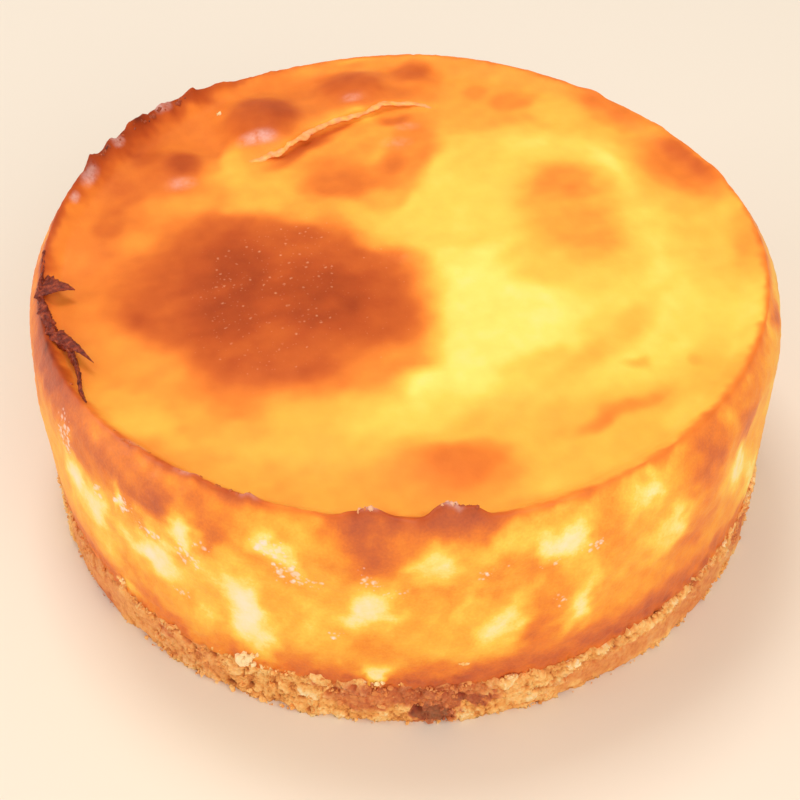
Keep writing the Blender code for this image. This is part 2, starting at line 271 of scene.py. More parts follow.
def top_fall(radius, angle):
    """How far the plain top lies under the rim: the lip's slope, then the crown's rise."""
    inwards = RIM_RADIUS - radius
    back = 0.5 + 0.5 * np.cos(turn_between(angle, BACK_LIP_ANGLE))
    width = LIP_WIDTH + (BACK_LIP_WIDTH - LIP_WIDTH) * back
    depth = LIP_DEPTH + (BACK_LIP_DEPTH - LIP_DEPTH) * back
    return depth * smooth(inwards / width) - CROWN_RISE * smooth((inwards - LIP_WIDTH) / CROWN_WIDTH)


def top_height(x, y):
    """Height of the top skin: rim height - fall + slow waves + nubs + relief."""
    radius, angle = np.hypot(x, y), np.arctan2(y, x)
    slow = waves(RIM_WAVES, angle) * np.clip(radius / RIM_RADIUS, 0.0, 1.0) ** 5
    return RIM_HEIGHT - top_fall(radius, angle) + slow + nub_rise(radius, angle) + top_relief(x, y)


def filling_section():
    """Half section of the filling as (radius, height) rings, with each ring's distance from the
    rim's crest: negative down the side, positive over the lip and the top. The foot is a smooth
    step, the lean under the rim a parabola, and the rings crowd towards the crest."""
    foot, shoulder = BASE_THICKNESS - FOOT_OVERLAP, RIM_HEIGHT - SHOULDER_HEIGHT
    over_foot, under_crest = 0.7 * MM, 0.15 * MM
    under = np.array([0.35, 0.7, 0.92, 0.974]) * CAKE_RADIUS
    share = np.linspace(0.0, 1.0, 45)[:-1]
    side_radius = CAKE_RADIUS - FOOT_ROUNDING * (1.0 - smooth(3.0 * share))
    side_height = foot + over_foot + (shoulder - foot - over_foot) * share
    share = 1.0 - (1.0 - np.linspace(0.0, 1.0, 19)[:-1]) ** 1.4
    lean_radius = CAKE_RADIUS - (CAKE_RADIUS - RIM_RADIUS - under_crest) * share**2
    lean_height = shoulder + (SHOULDER_HEIGHT - under_crest) * share
    lip = RIM_RADIUS - LIP_WIDTH * np.linspace(0.0, 1.0, 13)[1:] ** 1.2
    outer_top = np.arange(RIM_RADIUS - LIP_WIDTH - TOP_RING_STEP, 38 * MM, -TOP_RING_STEP)
    top = np.concatenate([lip, outer_top, np.linspace(37.4, 1.2, 26) * MM])
    radius = np.concatenate([under, side_radius, lean_radius, [RIM_RADIUS], top])
    low, high = np.full(len(under), foot), np.full(len(top) + 1, RIM_HEIGHT)
    height = np.concatenate([low, side_height, lean_height, high])
    from_crest = height - RIM_HEIGHT
    from_crest[-len(top):] = RIM_RADIUS - top
    return radius, height, from_crest


def rim_raggedness(angle):
    """Small peaks along the rim's crest, highest where it is burnt at the back left."""
    x, y = round_at(RIM_RADIUS, angle)
    burnt = hump(turn_between(angle, 142) / 0.36)
    peaks = np.abs(wander(x, y, 0.0, 4.5, 41)) + 0.5 * np.abs(wander(x, y, 0.0, 2.2, 42))
    front = 0.30 * MM * hump(turn_between(angle, -128) / 0.6)
    right = hump(turn_between(angle, 40) / 0.5) * np.maximum(wander(x, y, 0.0, 10, 43), 0.0)
    thorns = sum(
        rise * MM * hump(turn_between(angle, degrees) * RIM_RADIUS / THORN_HALF_WIDTH)
        for degrees, rise in RIM_THORNS
    )
    return (0.12 * MM + 0.22 * MM * burnt + front) * peaks + 0.5 * MM * right + thorns


def filling_place(radius, height, angle, from_crest):
    """Place of each point of the turned section on the real filling. The top follows
    top_height; the side takes the seat's waves at its foot, the rim's waves and nubs at its
    crest, and bulges by the wander; a finer wander roughens the rim and the side."""
    x, y = round_at(radius, angle)
    foot = BASE_THICKNESS - FOOT_OVERLAP
    up = np.clip((height - foot) / (RIM_HEIGHT - foot), 0.0, 1.0)
    side = height + (seat_height(radius, angle) - BASE_THICKNESS) * (1.0 - up)
    side = side + waves(RIM_WAVES, angle) * smooth(up)
    side = side + nub_rise(RIM_RADIUS, angle) * hump((RIM_HEIGHT - height) / (3.0 * MM))
    bulge = SIDE_WANDER * wander(x, y, height, SIDE_WANDER_PITCH, 8) * np.sin(math.pi * up)
    bulge = bulge + 0.05 * MM * wander(x, y, height, 3.0, 31) * smooth(3.0 * up)
    bulge = bulge + (0.05 * MM + 0.22 * MM * smooth(1.0 - 5.0 * up)) * wander(x, y, height, 1.7, 32)
    on_side = (from_crest < 0.0) & (radius > RIM_RADIUS)
    swelled = 1.0 + np.where(on_side, bulge, 0.0) / CAKE_RADIUS
    plain = np.where(from_crest >= 0.0, top_height(x, y), side)
    return x * swelled, y * swelled, plain + hump(from_crest / (1.1 * MM)) * rim_raggedness(angle)


# How brown the skin is, from 0 for pale cream to 1 for burnt, is painted in soft ovals, one over
# the other. On the top each is (x, y, half length, half width, turn in degrees, browning, width
# of its soft edge), in millimetres.
TOP_OVALS = (
    (-52, 22, 34, 62, 0, 0.61, 16),  # the left
    (-55, 28, 11, 8, 0, 0.69, 7),
    (20, 62, 32, 17, 0, 0.51, 10),  # the back
    (14, 67, 5, 3, 0, 0.54, 4),
    (0, -63, 34, 7, 0, 0.49, 6),  # the front
    (26, -60, 8, 3.5, 20, 0.41, 4),
    (-50, -36, 11, 7, 10, 0.47, 5),
    (-45, -52.5, 12, 3, -48, 0.57, 4),
    (-33, -56, 9, 4, -22, 0.49, 4),
    (-48, -45, 6, 4, -20, 0.42, 4),
    (-33, -44, 8, 7, 0, 0.49, 4),
    (-31, -42, 4, 2.6, 0, 0.57, 3),
    (31, 2, 33, 41, -8, 0.31, 8),  # the yellow right
    (3, -43, 13, 4.6, 20, 0.32, 5),
    (64, -14, 6, 13, 5, 0.31, 6),
    (61, 5, 7, 16, 8, 0.38, 6),
    (68, 5, 3, 8, 0, 0.50, 4),
    (16, 34, 6, 8, 0, 0.37, 6),
    (15, -3, 8.5, 15, 0, 0.23, 7),
    (20, -18, 13, 12, 0, 0.24, 8),
    (12, -31, 6, 8, 0, 0.23, 5),
    (27, -33, 7, 5, 40, 0.38, 5),
    (60, 15, 7, 9, 0, 0.41, 8),
    (52, 21, 4, 5, 0, 0.40, 5),
    (37, -3, 16, 4.5, 0, 0.36, 6),
    (22, 13, 7, 4, 0, 0.34, 5),
    (49, 2, 2.4, 17, 8, 0.28, 3.5),
    (43, 27.5, 3, 7.5, 0, 0.20, 3.5),
    (39, -25, 13, 2.6, 50, 0.42, 4),
    (43, -31, 2, 1.4, 20, 0.44, 2),
    (54, -30, 1.6, 1.4, 0, 0.46, 2),
    (52, -45, 6, 5, 40, 0.36, 4),
    (40, -41.6, 9, 2.8, 31, 0.46, 3.5),
    (38, -42.8, 8.5, 1.5, 33, 0.61, 2.6),
    (34, 12, 14, 21, 5, 0.39, 10),  # the patch at the right
    (34, 15, 9.5, 14.5, 0, 0.47, 9),
    (37, 8, 6, 8, 0, 0.52, 8),
    (33, 24, 5.5, 5.5, 0, 0.58, 8),
    (59.5, 34.5, 12.5, 15, 25, 0.48, 8),  # by the rim at the right
    (61, 32, 8, 11, 28, 0.63, 7),
    (62, 34, 3, 7, 28, 0.75, 5),
    (46.5, 50, 12, 4, -38, 0.50, 4),
    (45.8, 52.0, 9, 4.5, -42, 0.64, 4.5),
    (34, 50, 5, 6, 20, 0.42, 4),
    (17, 59, 3, 3, 0, 0.58, 3),
    (25, 55.5, 4, 3, 0, 0.58, 3),
    (-50, 41, 12, 19, 32, 0.65, 6),  # the skin behind the fold
    (-28, 53, 23, 9.5, 20, 0.64, 6),
    (-7, 59, 14, 7.0, 6, 0.65, 5),
    (-57.5, 41, 4, 14, 33, 0.76, 6),
    (-46.0, 31.2, 3.6, 3.8, 0, 0.82, 4),
    (-35, 60, 9, 2.6, 26, 0.61, 4),
    (-12, 67, 8, 2.4, 8, 0.57, 3),
    (-31.0, 46.5, 8.2, 8.2, 0, 0.75, 5.5),
    (-29.0, 48.0, 6.2, 5.6, 0, 0.78, 5),
    (-26.4, 48.8, 2.6, 3.2, 15, 0.83, 4),
    (-12, 58.5, 8.5, 5.4, 0, 0.70, 5),
    (-12.0, 59.4, 5.2, 3.8, 10, 0.76, 4.5),
    (2.2, 64, 6.5, 5.5, 0, 0.62, 3),
    (2.2, 64.4, 4.5, 4, 0, 0.72, 3),
    (-8, 49.6, 2.6, 1.3, 20, 0.42, 1.6),
    (-27, 26, 15, 8, -10, 0.47, 6),  # between the fold and the great oval
    (-26, 20, 5, 6, -20, 0.42, 4),
    (-35, 31, 2.5, 7, 5, 0.42, 3),
    (-44, 19, 14, 4, 0, 0.54, 6),
    (-30, 19, 5, 4, 0, 0.45, 5),
    (-8, 44, 5, 4, 0, 0.51, 4),
    (-18, 36, 14, 4.5, 15, 0.54, 4),
    # Painted shadow: the dark crease before the fold.
    (-20.5, 38.4, 9, 2.0, 42, 0.74, 2.4),
    (-10.5, 26.5, 12, 8, 0, 0.60, 6),
    (1.5, 37, 5.2, 12.5, -6, 0.60, 5),
    (-13, 24, 7, 4.6, 15, 0.67, 4.5),
    (-2, 32, 2, 4, 0, 0.68, 3),
    (-2, 48.5, 3.5, 2.4, 0, 0.70, 3),
    (-59, 13, 3.4, 9, 0, 0.69, 6),
    (-53, -7, 8, 17, 0, 0.63, 10),
    (-25.4, -13.6, 29.6, 25.0, 0, 0.77, 11),  # the great toasted oval
    (-33.5, 2, 10, 11, 0, 0.76, 8),
    (-3, -31, 8, 5.5, 15, 0.58, 6),
    (-50, -29, 12, 6, -38, 0.54, 8),
    (10, 11.5, 11, 12, -42, 0.33, 7),
    (-4, 9, 4.5, 4, 0, 0.35, 7),
    (-4, 19, 4, 3, 0, 0.48, 4),
    (4, -36, 4.5, 3.5, 0, 0.24, 5),
    (-20.5, 15.5, 5, 4.5, -15, 0.50, 5),  # the notch in its edge
    (-34, 10.5, 8.5, 4.2, 0, 0.74, 8),
    (-33.5, -8, 8.5, 15, 0, 0.86, 9),
    (-15, -12, 9, 10, 0, 0.85, 9),
    (-54, 7, 4, 3.5, 0, 0.55, 5),
    (-57.3, 22.2, 3, 3, 0, 0.70, 4),
    (-59.8, 11.5, 3, 4, 0, 0.71, 4),
    (8, -57.5, 12, 5.6, 0, 0.57, 6),  # the patch at the front
    (9, -56, 7.2, 4, 0, 0.66, 5),
)
# On the side each is (angle in degrees, height, half width, half height, lean in degrees,
# browning, width of its soft edge).
SIDE_OVALS = (
    (-150, 33, 18, 12, 0, 0.44, 8),
    (-104, 30, 12, 12, 0, 0.43, 6),
    (-84, 27, 9, 9, 0, 0.42, 6),
    (-72, 48.5, 15, 4, 0, 0.39, 4),
    (-65.5, 36.5, 4.4, 6, 0, 0.38, 4),
    (-106, 49, 8, 3.4, 0, 0.40, 3),
    (-53, 35, 8, 9, 0, 0.42, 5),
    (-34, 36, 6, 10, -15, 0.43, 5),
    (-26, 36, 8, 14, 0, 0.46, 8),
    (-121, 28, 6, 14, 0, 0.42, 5),
    (-48, 21, 15, 8, 0, 0.55, 9),  # browned over the joint
    (-57, 13.8, 29, 3.4, 0, 0.74, 3.5),
    (-55, 16.4, 11, 2.8, 0, 0.73, 3),
    (-67, 18, 5, 2.4, 0, 0.70, 3),
    (-21, 16, 6, 4, 0, 0.55, 4),
    (-155, 15, 8, 4, 0, 0.67, 3),
    (-145, 15.5, 9, 3.2, 0, 0.68, 4),
    (-131.8, 15.0, 3.0, 3.0, 0, 0.62, 3),
    (-106.3, 16.4, 3.8, 3.0, 0, 0.60, 3.5),
    (-98, 14.6, 5, 2.8, 0, 0.62, 3),
    (-86, 15, 6.5, 3.4, 0, 0.62, 3.5),
    (-85, 12.2, 8, 2.2, 0, 0.76, 2.5),
    (-101, 12.2, 5, 1.6, 0, 0.74, 2),
    (-93, 23, 3.5, 3.4, 0, 0.51, 3),
    (-96, 22, 2.5, 3.0, 0, 0.52, 3),
    (-135, 47.5, 23, 4.4, 0, 0.66, 4),  # browned under the rim
    (-143.5, 43.5, 4.5, 3.2, 0, 0.67, 3),
    (-127, 47.2, 4.4, 3.0, 0, 0.76, 3),
    (-140.5, 47.2, 6, 2.0, 0, 0.71, 3),
    (-120.5, 49, 4, 2.5, 0, 0.62, 3),
    (-131.5, 51, 5, 2, 0, 0.64, 3),
    (-117.5, 45.5, 3.0, 4.2, 5, 0.66, 3),
    (-147, 46, 2, 1.5, 0, 0.48, 1.5),
    (-163, 45, 4, 7, 0, 0.72, 4),
    (-155, 45, 6, 6, 0, 0.56, 4),
    (-157, 48.5, 10, 2.8, 0, 0.76, 3),
    (-157.5, 52.3, 13, 3.4, 0, 0.86, 3),
    (-95, 48.5, 6.2, 5.4, 0, 0.64, 4),
    (-94.5, 48.0, 3.4, 3.2, 0, 0.73, 3),
    (-94, 53, 7, 2.2, 0, 0.74, 2.5),
    (-88, 50, 6, 2.6, 0, 0.61, 3),
    (-82.5, 50.8, 6, 2.4, 0, 0.63, 3),
    (-82.8, 53.9, 5.4, 2.6, 0, 0.78, 2.5),
    (-61.5, 43, 2.3, 6.5, 0, 0.55, 3),
    (-74, 41.5, 2.4, 3.8, -10, 0.54, 3),
    (-70.9, 29.5, 2.5, 9, 0, 0.58, 3.5),
    (-72.4, 23, 1.8, 4.2, 0, 0.69, 3),
    (-43.8, 40, 3.4, 11, 0, 0.58, 4),
    (-42.8, 47, 5.4, 5.6, 0, 0.64, 4),
    (-42.7, 46.0, 2.8, 3.6, 0, 0.72, 3),
    (-44, 27.5, 4, 3.6, 0, 0.64, 4),
    (-32.6, 43.8, 4.6, 5.6, -12, 0.69, 3.4),
    (-27, 50, 4, 2.6, 0, 0.60, 3),
    (-85, 38, 3.2, 5, -10, 0.50, 4),
    (-110.4, 43.5, 1.4, 3.4, 10, 0.50, 2),
    (-146.0, 34.4, 3.4, 4.6, -6, 0.10, 3),  # pale islands
    (-140.6, 32.0, 3.2, 4.2, -18, 0.13, 3),
    (-138.8, 34.5, 1.4, 3.6, -20, 0.20, 2),
    (-139.6, 22.6, 3.2, 4.6, 0, 0.33, 3),
    (-128.8, 29.9, 6.4, 3.6, -8, 0.08, 3),
    (-128, 37, 1.3, 2.4, 10, 0.27, 1.5),
    (-125.2, 36.0, 1.3, 2.6, -15, 0.22, 1.5),
    (-122.0, 42.6, 2.4, 3.2, -10, 0.10, 3),
    (-134, 41.5, 0.9, 2.4, -8, 0.15, 1),
    (-119, 35, 2.4, 3.4, 0, 0.31, 2),
    (-120, 22, 1.6, 3.2, 0, 0.29, 2),
    (-113.0, 27.8, 3.7, 10.4, 8, 0.07, 3.2),
    (-113.2, 38.5, 1.4, 3.0, -8, 0.40, 1.8),
    (-108.4, 46.6, 3.4, 2.3, -12, 0.16, 2),
    (-105.6, 43, 1.0, 2.6, 20, 0.20, 1.4),
    (-103.7, 29, 2.2, 3.6, 0, 0.28, 3),
    (-95.2, 33.0, 4.4, 4.8, -10, 0.12, 3.2),
    (-94.7, 15.4, 2.0, 3.0, 0, 0.14, 1.6),
    (-86.2, 44.7, 3.1, 3.0, -10, 0.19, 3),
    (-82, 34, 0.9, 3.4, -22, 0.30, 1.2),
    (-76.6, 28.4, 2.4, 6.2, -28, 0.17, 3),
    (-76, 47.4, 5, 2.0, 0, 0.33, 2),
    (-68.4, 44.4, 3.8, 4.0, 10, 0.14, 3),
    (-66, 26.5, 3, 5.4, -10, 0.30, 2),
    (-65.5, 27, 1.7, 3.2, -10, 0.17, 1.6),
    (-64, 33, 1.7, 2.8, 0, 0.31, 1.6),
    (-55, 48.5, 3.7, 2.5, 0, 0.20, 2.6),
    (-52.2, 35.6, 2.8, 4.2, 6, 0.29, 2.4),
    (-49.5, 37.0, 1.6, 3.2, 0, 0.20, 2),
    (-33.6, 34.4, 3.4, 5.0, 22, 0.14, 3),
    (-26.8, 24, 3.4, 6.6, 28, 0.24, 3),
    (-20, 38, 3.4, 6, 0, 0.40, 3),
    (-8, 40, 8, 9, 0, 0.34, 5),
    (-12, 50, 3, 3, 0, 0.70, 3),
    (-136, 14.3, 3.2, 1.8, 0, 0.38, 1.4),
)
HIDDEN_ARC = (8.0, 190.0)  # degrees round the back, where ovals are drawn at random


def oval(x, y, half_x, half_y, turn, edge):
    """1 inside an oval about the origin and 0 outside it: a smooth step across a soft edge,
    of the oval's distance d = (|u|^2.4 + |v|^2.4)^(1/2.4) times its smaller half size."""
    cosine, sine = math.cos(math.radians(turn)), math.sin(math.radians(turn))
    u = np.abs(x * cosine + y * sine) / half_x
    v = np.abs(y * cosine - x * sine) / half_y
    return smooth(0.5 + (1.0 - (u**2.4 + v**2.4) ** (1.0 / 2.4)) * min(half_x, half_y) / edge)


def painted(value, ovals, across, up, angle=None, soften=1.0, fade=1.0):
    """A value painted over by ovals in turn: value + (target - value) * oval * fade. On the top
    across and up are x and y in millimetres. On a wall, where the angle is given, up is the
    height, and across bends the ovals' outlines round the wall."""
    for centre, level, half_width, half_height, turn, target, edge in ovals:
        aside = across - centre if angle is None else wall_across(angle, centre) + across
        share = oval(aside, up - level, half_width, half_height, turn, soften * edge)
        value = value + (target - value) * share * fade
    return value


def fold_shadow_and_highlight(browning, x, y):
    """Painted shadow in the crease before the fold and a painted highlight on the fold's edge."""
    behind, along = fold_distance(x, y)
    shadow_stretch = smooth((along - 0.4) / 0.1) * smooth((0.95 - along) / 0.1)
    painted_crease_shadow = 0.8 * hump((behind + 1.4 * MM) / (0.8 * MM)) * shadow_stretch
    ends = smooth(along / 0.15) * smooth((1.0 - along) / 0.06)
    edge = 0.7 * hump((behind - 0.1 * MM) / (0.6 * MM)) * ends
    # A painted shadow in the crease, then a painted highlight on the fold's edge.
    browning = browning + (0.80 - browning) * painted_crease_shadow
    return browning + (0.54 - browning) * edge


def top_browning_and_shade(x, y):
    """The top's browning: its ovals painted over 0.43, their outlines bent by wander, then a
    faint mottling and the fold's painted shadow and highlight."""
    bent_x = x / MM + wanders(x, y, 0.0, (0.8, 17, 51), (0.3, 6, 52))
    bent_y = y / MM + wanders(x, y, 0.0, (0.8, 17, 53), (0.3, 6, 54))
    mottle = wanders(x, y * 1.2, 0.0, (0.014, 8, 55), (0.008, 4, 56))
    return fold_shadow_and_highlight(painted(0.43, TOP_OVALS, bent_x, bent_y) + mottle, x, y)


def hidden_ovals():
    """Ovals like those of the front, spread evenly round the back by a seeded draw."""
    draw = np.random.default_rng(77)
    ovals = []
    for degrees in np.arange(*HIDDEN_ARC, 9.0):
        for height, target, spread in ((48.0, 0.70, 6.0), (17.0, 0.68, 4.0), (34.0, 0.43, 9.0)):
            middle = degrees + draw.uniform(-4.0, 4.0)
            shade = target + draw.uniform(-0.10, 0.06)
            ovals.append((middle, height, draw.uniform(3, 10), draw.uniform(2, spread), 0, shade, 4))
        for _ in range(draw.integers(1, 4)):
            middle = degrees + draw.uniform(-4.0, 4.0)
            width = draw.uniform(1.0, 4.4)
            tall = width * draw.uniform(0.9, 2.0)
            lean = draw.uniform(-25, 25)
            ovals.append((middle, draw.uniform(23, 44), width, tall, lean, draw.uniform(0.08, 0.32), 2.4))
    return tuple(ovals)


def side_browning_and_shade(x, y, height, angle):
    """The side's browning: its ovals painted over a streaked ground that darkens over the joint,
    their outlines bent by wander, then fine blotches and a broken dark line along the joint,
    strongest at the front right, part browning and part painted shade where the filling meets
    the biscuit."""
    bend = wanders(x, y, height, (0.9, 9, 61), (0.4, 3.6, 62))
    up = height / MM + wanders(x, y, height, (0.9, 9, 63), (0.4, 3.6, 64))
    streaks = 0.03 * wander(x, y, 0.7 * height, 7, 65) + 0.015 * wander(x, y, height, 3, 66)
    ground = 0.48 + streaks + 0.14 * smooth((19.0 - up) / 4.0)
    browning = painted(ground, hidden_ovals() + SIDE_OVALS, bend, up, angle, soften=2.0)
    blotches = wanders(x, y, height, (0.026, 4.5, 59), (0.010, 2.0, 69))
    over_joint = (height - seat_height(CAKE_RADIUS, angle)) / MM
    # Partly painted shade: a dark line along the joint.
    joint = smooth(0.3 + 0.6 * wander(x, y, height, 5, 60)) * hump((over_joint - 0.2) / 1.1)
    strength = 0.1 + 0.6 * oval(wall_across(angle, -60), 0.0, 40, 9, 0, 20)
    return browning + blotches + (0.88 - browning) * strength * joint


# The rim's brown line: (angle in degrees, browning, width outwards in millimetres).
RIM_LINE = (
    (-180, 0.84, 1.4),
    (-172, 0.88, 1.8),
    (-160, 0.90, 2),
    (-152, 0.84, 1.8),
    (-142, 0.68, 1.2),
    (-128, 0.74, 1),
    (-118, 0.80, 1.1),
    (-112, 0.78, 1.1),
    (-106, 0.60, 0.9),
    (-100, 0.71, 1.1),
    (-97, 0.83, 2.2),
    (-93.5, 0.83, 2.6),
    (-90, 0.77, 1.8),
    (-86.5, 0.85, 2.4),
    (-81, 0.85, 2.4),
    (-77.5, 0.73, 1.2),
    (-73, 0.61, 1),
    (-58, 0.59, 1.1),
    (-42, 0.65, 1.3),
    (-30, 0.65, 1.2),
    (-10, 0.63, 1),
    (15, 0.61, 0.9),
    (40, 0.61, 0.9),
    (60, 0.64, 0.8),
    (90, 0.62, 0.8),
    (108, 0.66, 0.9),
    (120, 0.76, 1.1),
    (130, 0.86, 1.4),
    (142, 0.90, 1.6),
    (156, 0.90, 1.7),
    (166, 0.80, 1.1),
    (180, 0.84, 1.4),
)


def filling_browning_and_shade(x, y, height, angle, from_crest):
    """The side's browning, the top's from the crest of the rim inwards, and over both the rim's
    line, whose share is exp(-d^2) with d the distance from the crest over the line's width."""
    side, top = side_browning_and_shade(x, y, height, angle), top_browning_and_shade(x, y)
    browning = side + (top - side) * smooth((from_crest + 1.2 * MM) / (1.2 * MM))
    degrees, tones, widths = np.array(RIM_LINE).T
    round_rim = (np.degrees(angle) + 180.0) % 360.0 - 180.0
    rough = 1.0 + wanders(x, y, 0.0, (0.30, 9, 71), (0.20, 3, 72))
    width = np.maximum(np.interp(round_rim, degrees, widths) * MM * rough, 0.4 * MM)
    scorched = np.interp(round_rim, (100, 125, 160, 178), (0.0, 1.0, 1.0, 0.0))
    width = width * np.where(from_crest < 0.0, 1.0, 1.0 + 0.6 * scorched)
    line = np.interp(round_rim, degrees, tones) + 0.03 * wander(x, y, 0.0, 5, 73)
    return np.clip(browning + (line - browning) * hump(from_crest / width), 0.0, 1.0)


# Where the skin is glossy: on the top (x, y, half length, half width, turn, gloss, soft edge)
# and on the side (angle, height, half width, half height, lean, gloss, soft edge).
TOP_GLOSS = (
    (-31.1, 39.3, 4, 1.6, 0, 0.35, 2),
    (-11, 54.5, 3, 1.4, 0, 0.3, 2),
    (-46.5, 25, 3, 1.8, 0, 0.2, 2),
)
SIDE_GLOSS = (
    (-140, 51, 34, 5, 0, 0.32, 4),
    (-90, 52, 14, 6, 0, 0.25, 4),
    (-57, 15, 30, 5, 0, 0.16, 4),
)


def gloss_share(x, y, height, angle, from_crest):
    """How glossy the skin is, from 0 to 1: ovals painted over 0 on the top and 0.1 below."""
    top = painted(0.0, TOP_GLOSS, x / MM, y / MM)
    side = painted(0.1, SIDE_GLOSS, 0.0, height / MM, angle)
    return np.where(from_crest > 0.0, top, side)


# Where small pale flecks lie: curds down the side (angle, height, half width, half height), and
# on the top pale dots, painted highlights for glints of tiny bubbles (x, y, half length, half
# width), in millimetres.
SIDE_FLECKS = (
    (-148, 44, 3, 5),
    (-149, 38.5, 1.5, 2),
    (-139, 38, 2, 2.5),
    (-133.5, 40.5, 2.6, 2.8),
    (-128.5, 37.4, 3, 2),
    (-121.3, 37.5, 2.8, 4),
    (-118.4, 42, 1.6, 1.4),
    (-123.6, 24.5, 2, 1),
    (-108.6, 46.4, 3.4, 2.2),
    (-106.6, 42, 2.4, 2.6),
    (-104.5, 39, 4, 1.8),
    (-107.8, 38.8, 1, 1),
    (-95.9, 44.5, 1, 0.8),
    (-95.3, 41, 2.4, 1.8),
    (-91.5, 38, 2.2, 0.9),
    (-100.4, 25.7, 1.4, 1.5),
    (-80, 42, 1.2, 1.4),
    (-76.9, 42.4, 0.7, 0.7),
    (-64, 42, 2, 1.4),
    (-70, 40.9, 2.4, 0.7),
    (-69, 31.2, 1.2, 1.8),
)
TOP_FLECKS = ((-27, -11, 13, 22), (-18, -12, 22, 24))


def fleck_share(x, y, height, angle, from_crest):
    """How dense the pale flecks are, from 0 to 1: a sum of ovals, weaker and softer on the top."""
    side = sum(
        oval(wall_across(angle, degrees), height / MM - centre, half_width, half_height, 0, 1.8)
        for degrees, centre, half_width, half_height in SIDE_FLECKS
    )
    top = sum(
        0.6 * oval(x / MM - centre_x, y / MM - centre_y, half_x, half_y, 0, 12)
        for centre_x, centre_y, half_x, half_y in TOP_FLECKS
    )
    return np.clip(np.where(from_crest > 0.0, top, side), 0.0, 1.0)


# Painted highlights: pale pinkish glints and sheen painted on the blisters, the rim and its nubs,
# (x, y, half length, half width, turn, share, soft edge) in millimetres.
PAINTED_SHINE_OVALS = (
    (-31.1, 39.3, 3.1, 1.4, 3, 0.34, 2.2),
    (-11.0, 53.9, 1.6, 0.9, 0, 0.20, 1.6),
    (-46.2, 25.0, 2.4, 1.3, 15, 0.16, 2.2),
    (-1.1, 39.1, 2.4, 1.4, 0, 0.12, 2.4),
    (1.1, 45.1, 2.0, 1.2, 0, 0.12, 2),
    (-60.6, 36.6, 1.5, 0.9, 57, 0.40, 1),
    (-65.3, 25.6, 2.2, 1.0, 67, 0.40, 1.6),
    (-67.6, 19.0, 1.4, 0.7, 74, 0.34, 0.8),
    (-52.0, 48.6, 1.8, 0.9, 43, 0.36, 1),
    (-6.0, -70.8, 1.5, 0.7, 0, 0.40, 0.8),
    (7.4, -70.8, 1.6, 0.7, 0, 0.45, 0.8),
    (-38.0, -60.0, 2.0, 0.6, -30, 0.36, 0.8),
    (-27.0, -66.0, 1.6, 0.5, -22, 0.28, 0.8),
    (-47.5, -52.5, 1.8, 0.5, -42, 0.28, 0.8),
)


def painted_shine_share(x, y, from_crest):
    """How much painted highlight the skin has: its ovals, on the top and over the crest of the rim."""
    fade = smooth(2.0 + from_crest / (2.0 * MM))
    return painted(0.0, PAINTED_SHINE_OVALS, x / MM, y / MM, fade=fade)


def turned_faces(rings, turns):
    """Faces of a closed turned grid: quads between rings, and a fan at each pole. Point 0 is
    the first pole, then come the rings, then the other pole."""
    ring, turn = np.meshgrid(np.arange(rings - 1), np.arange(turns), indexing="ij")
    after = (turn + 1) % turns
    here, next_ring = 1 + ring * turns, 1 + (ring + 1) * turns
    quads = np.stack([here + turn, here + after, next_ring + after, next_ring + turn], axis=-1)
    around = np.arange(turns)
    onward = (around + 1) % turns
    last = 1 + (rings - 1) * turns
    first_fan = np.stack([np.zeros(turns, int), 1 + onward, 1 + around], axis=-1)
    last_fan = np.stack([np.full(turns, last + turns), last + around, last + onward], axis=-1)
    return quads.reshape(-1, 4).tolist() + first_fan.tolist() + last_fan.tolist()


def with_poles(first, grid, last):
    """A flat array: the first pole's value, the grid's values ring by ring, the last pole's."""
    return np.concatenate([[first], grid.ravel(), [last]])


def turned_points(x, y, z, first_height, last_height):
    """Points of a closed turned grid, both of whose poles lie on the cake's axis."""
    columns = [with_poles(0.0, x, 0.0), with_poles(0.0, y, 0.0), with_poles(first_height, z, last_height)]
    return np.stack(columns, axis=-1)


def make_piece(name, points, faces, material, slot, **values):
    """Makes a smooth mesh of points and faces and fixes it to the cake. Each named value is kept
    as an attribute: one number for every point, or one for all."""
    mesh = bpy.data.meshes.new(name)
    mesh.from_pydata(np.clip(points, lowest, highest).tolist(), [], faces)
    for title, numbers in values.items():
        layer = mesh.attributes.new(title, "FLOAT", "POINT")
        layer.data.foreach_set("value", np.broadcast_to(numbers, len(points)).astype(np.float32))
    mesh.shade_smooth()
    mesh.materials.append(material)
    piece = bpy.data.objects.new(name, mesh)
    bpy.context.scene.collection.objects.link(piece)
    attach(piece, "root")
    return piece


class Number:
    """A shader socket that takes part in Python sums: each sum adds a Math node."""

    def __init__(self, finish, socket):
        self.finish = finish
        self.socket = socket

    def sum_of(self, operation, first, second):
        return self.finish.node("ShaderNodeMath", {"operation": operation}, {0: first, 1: second})

    def __add__(self, other):
        return self.sum_of("ADD", self, other)

    def __sub__(self, other):
        return self.sum_of("SUBTRACT", self, other)

    def __rsub__(self, other):
        return self.sum_of("SUBTRACT", other, self)

    def __mul__(self, other):
        return self.sum_of("MULTIPLY", self, other)

    def __gt__(self, other):
        return self.sum_of("GREATER_THAN", self, other)

    __radd__ = __add__
    __rmul__ = __mul__


def colour(red, green, blue):
    """A shader colour from the 0 to 255 values of a screen."""
    levels = np.array([red, green, blue]) / 255.0
    linear = np.where(levels < 0.04045, levels / 12.92, ((levels + 0.055) / 1.055) ** 2.4)
    return (*linear.tolist(), 1.0)


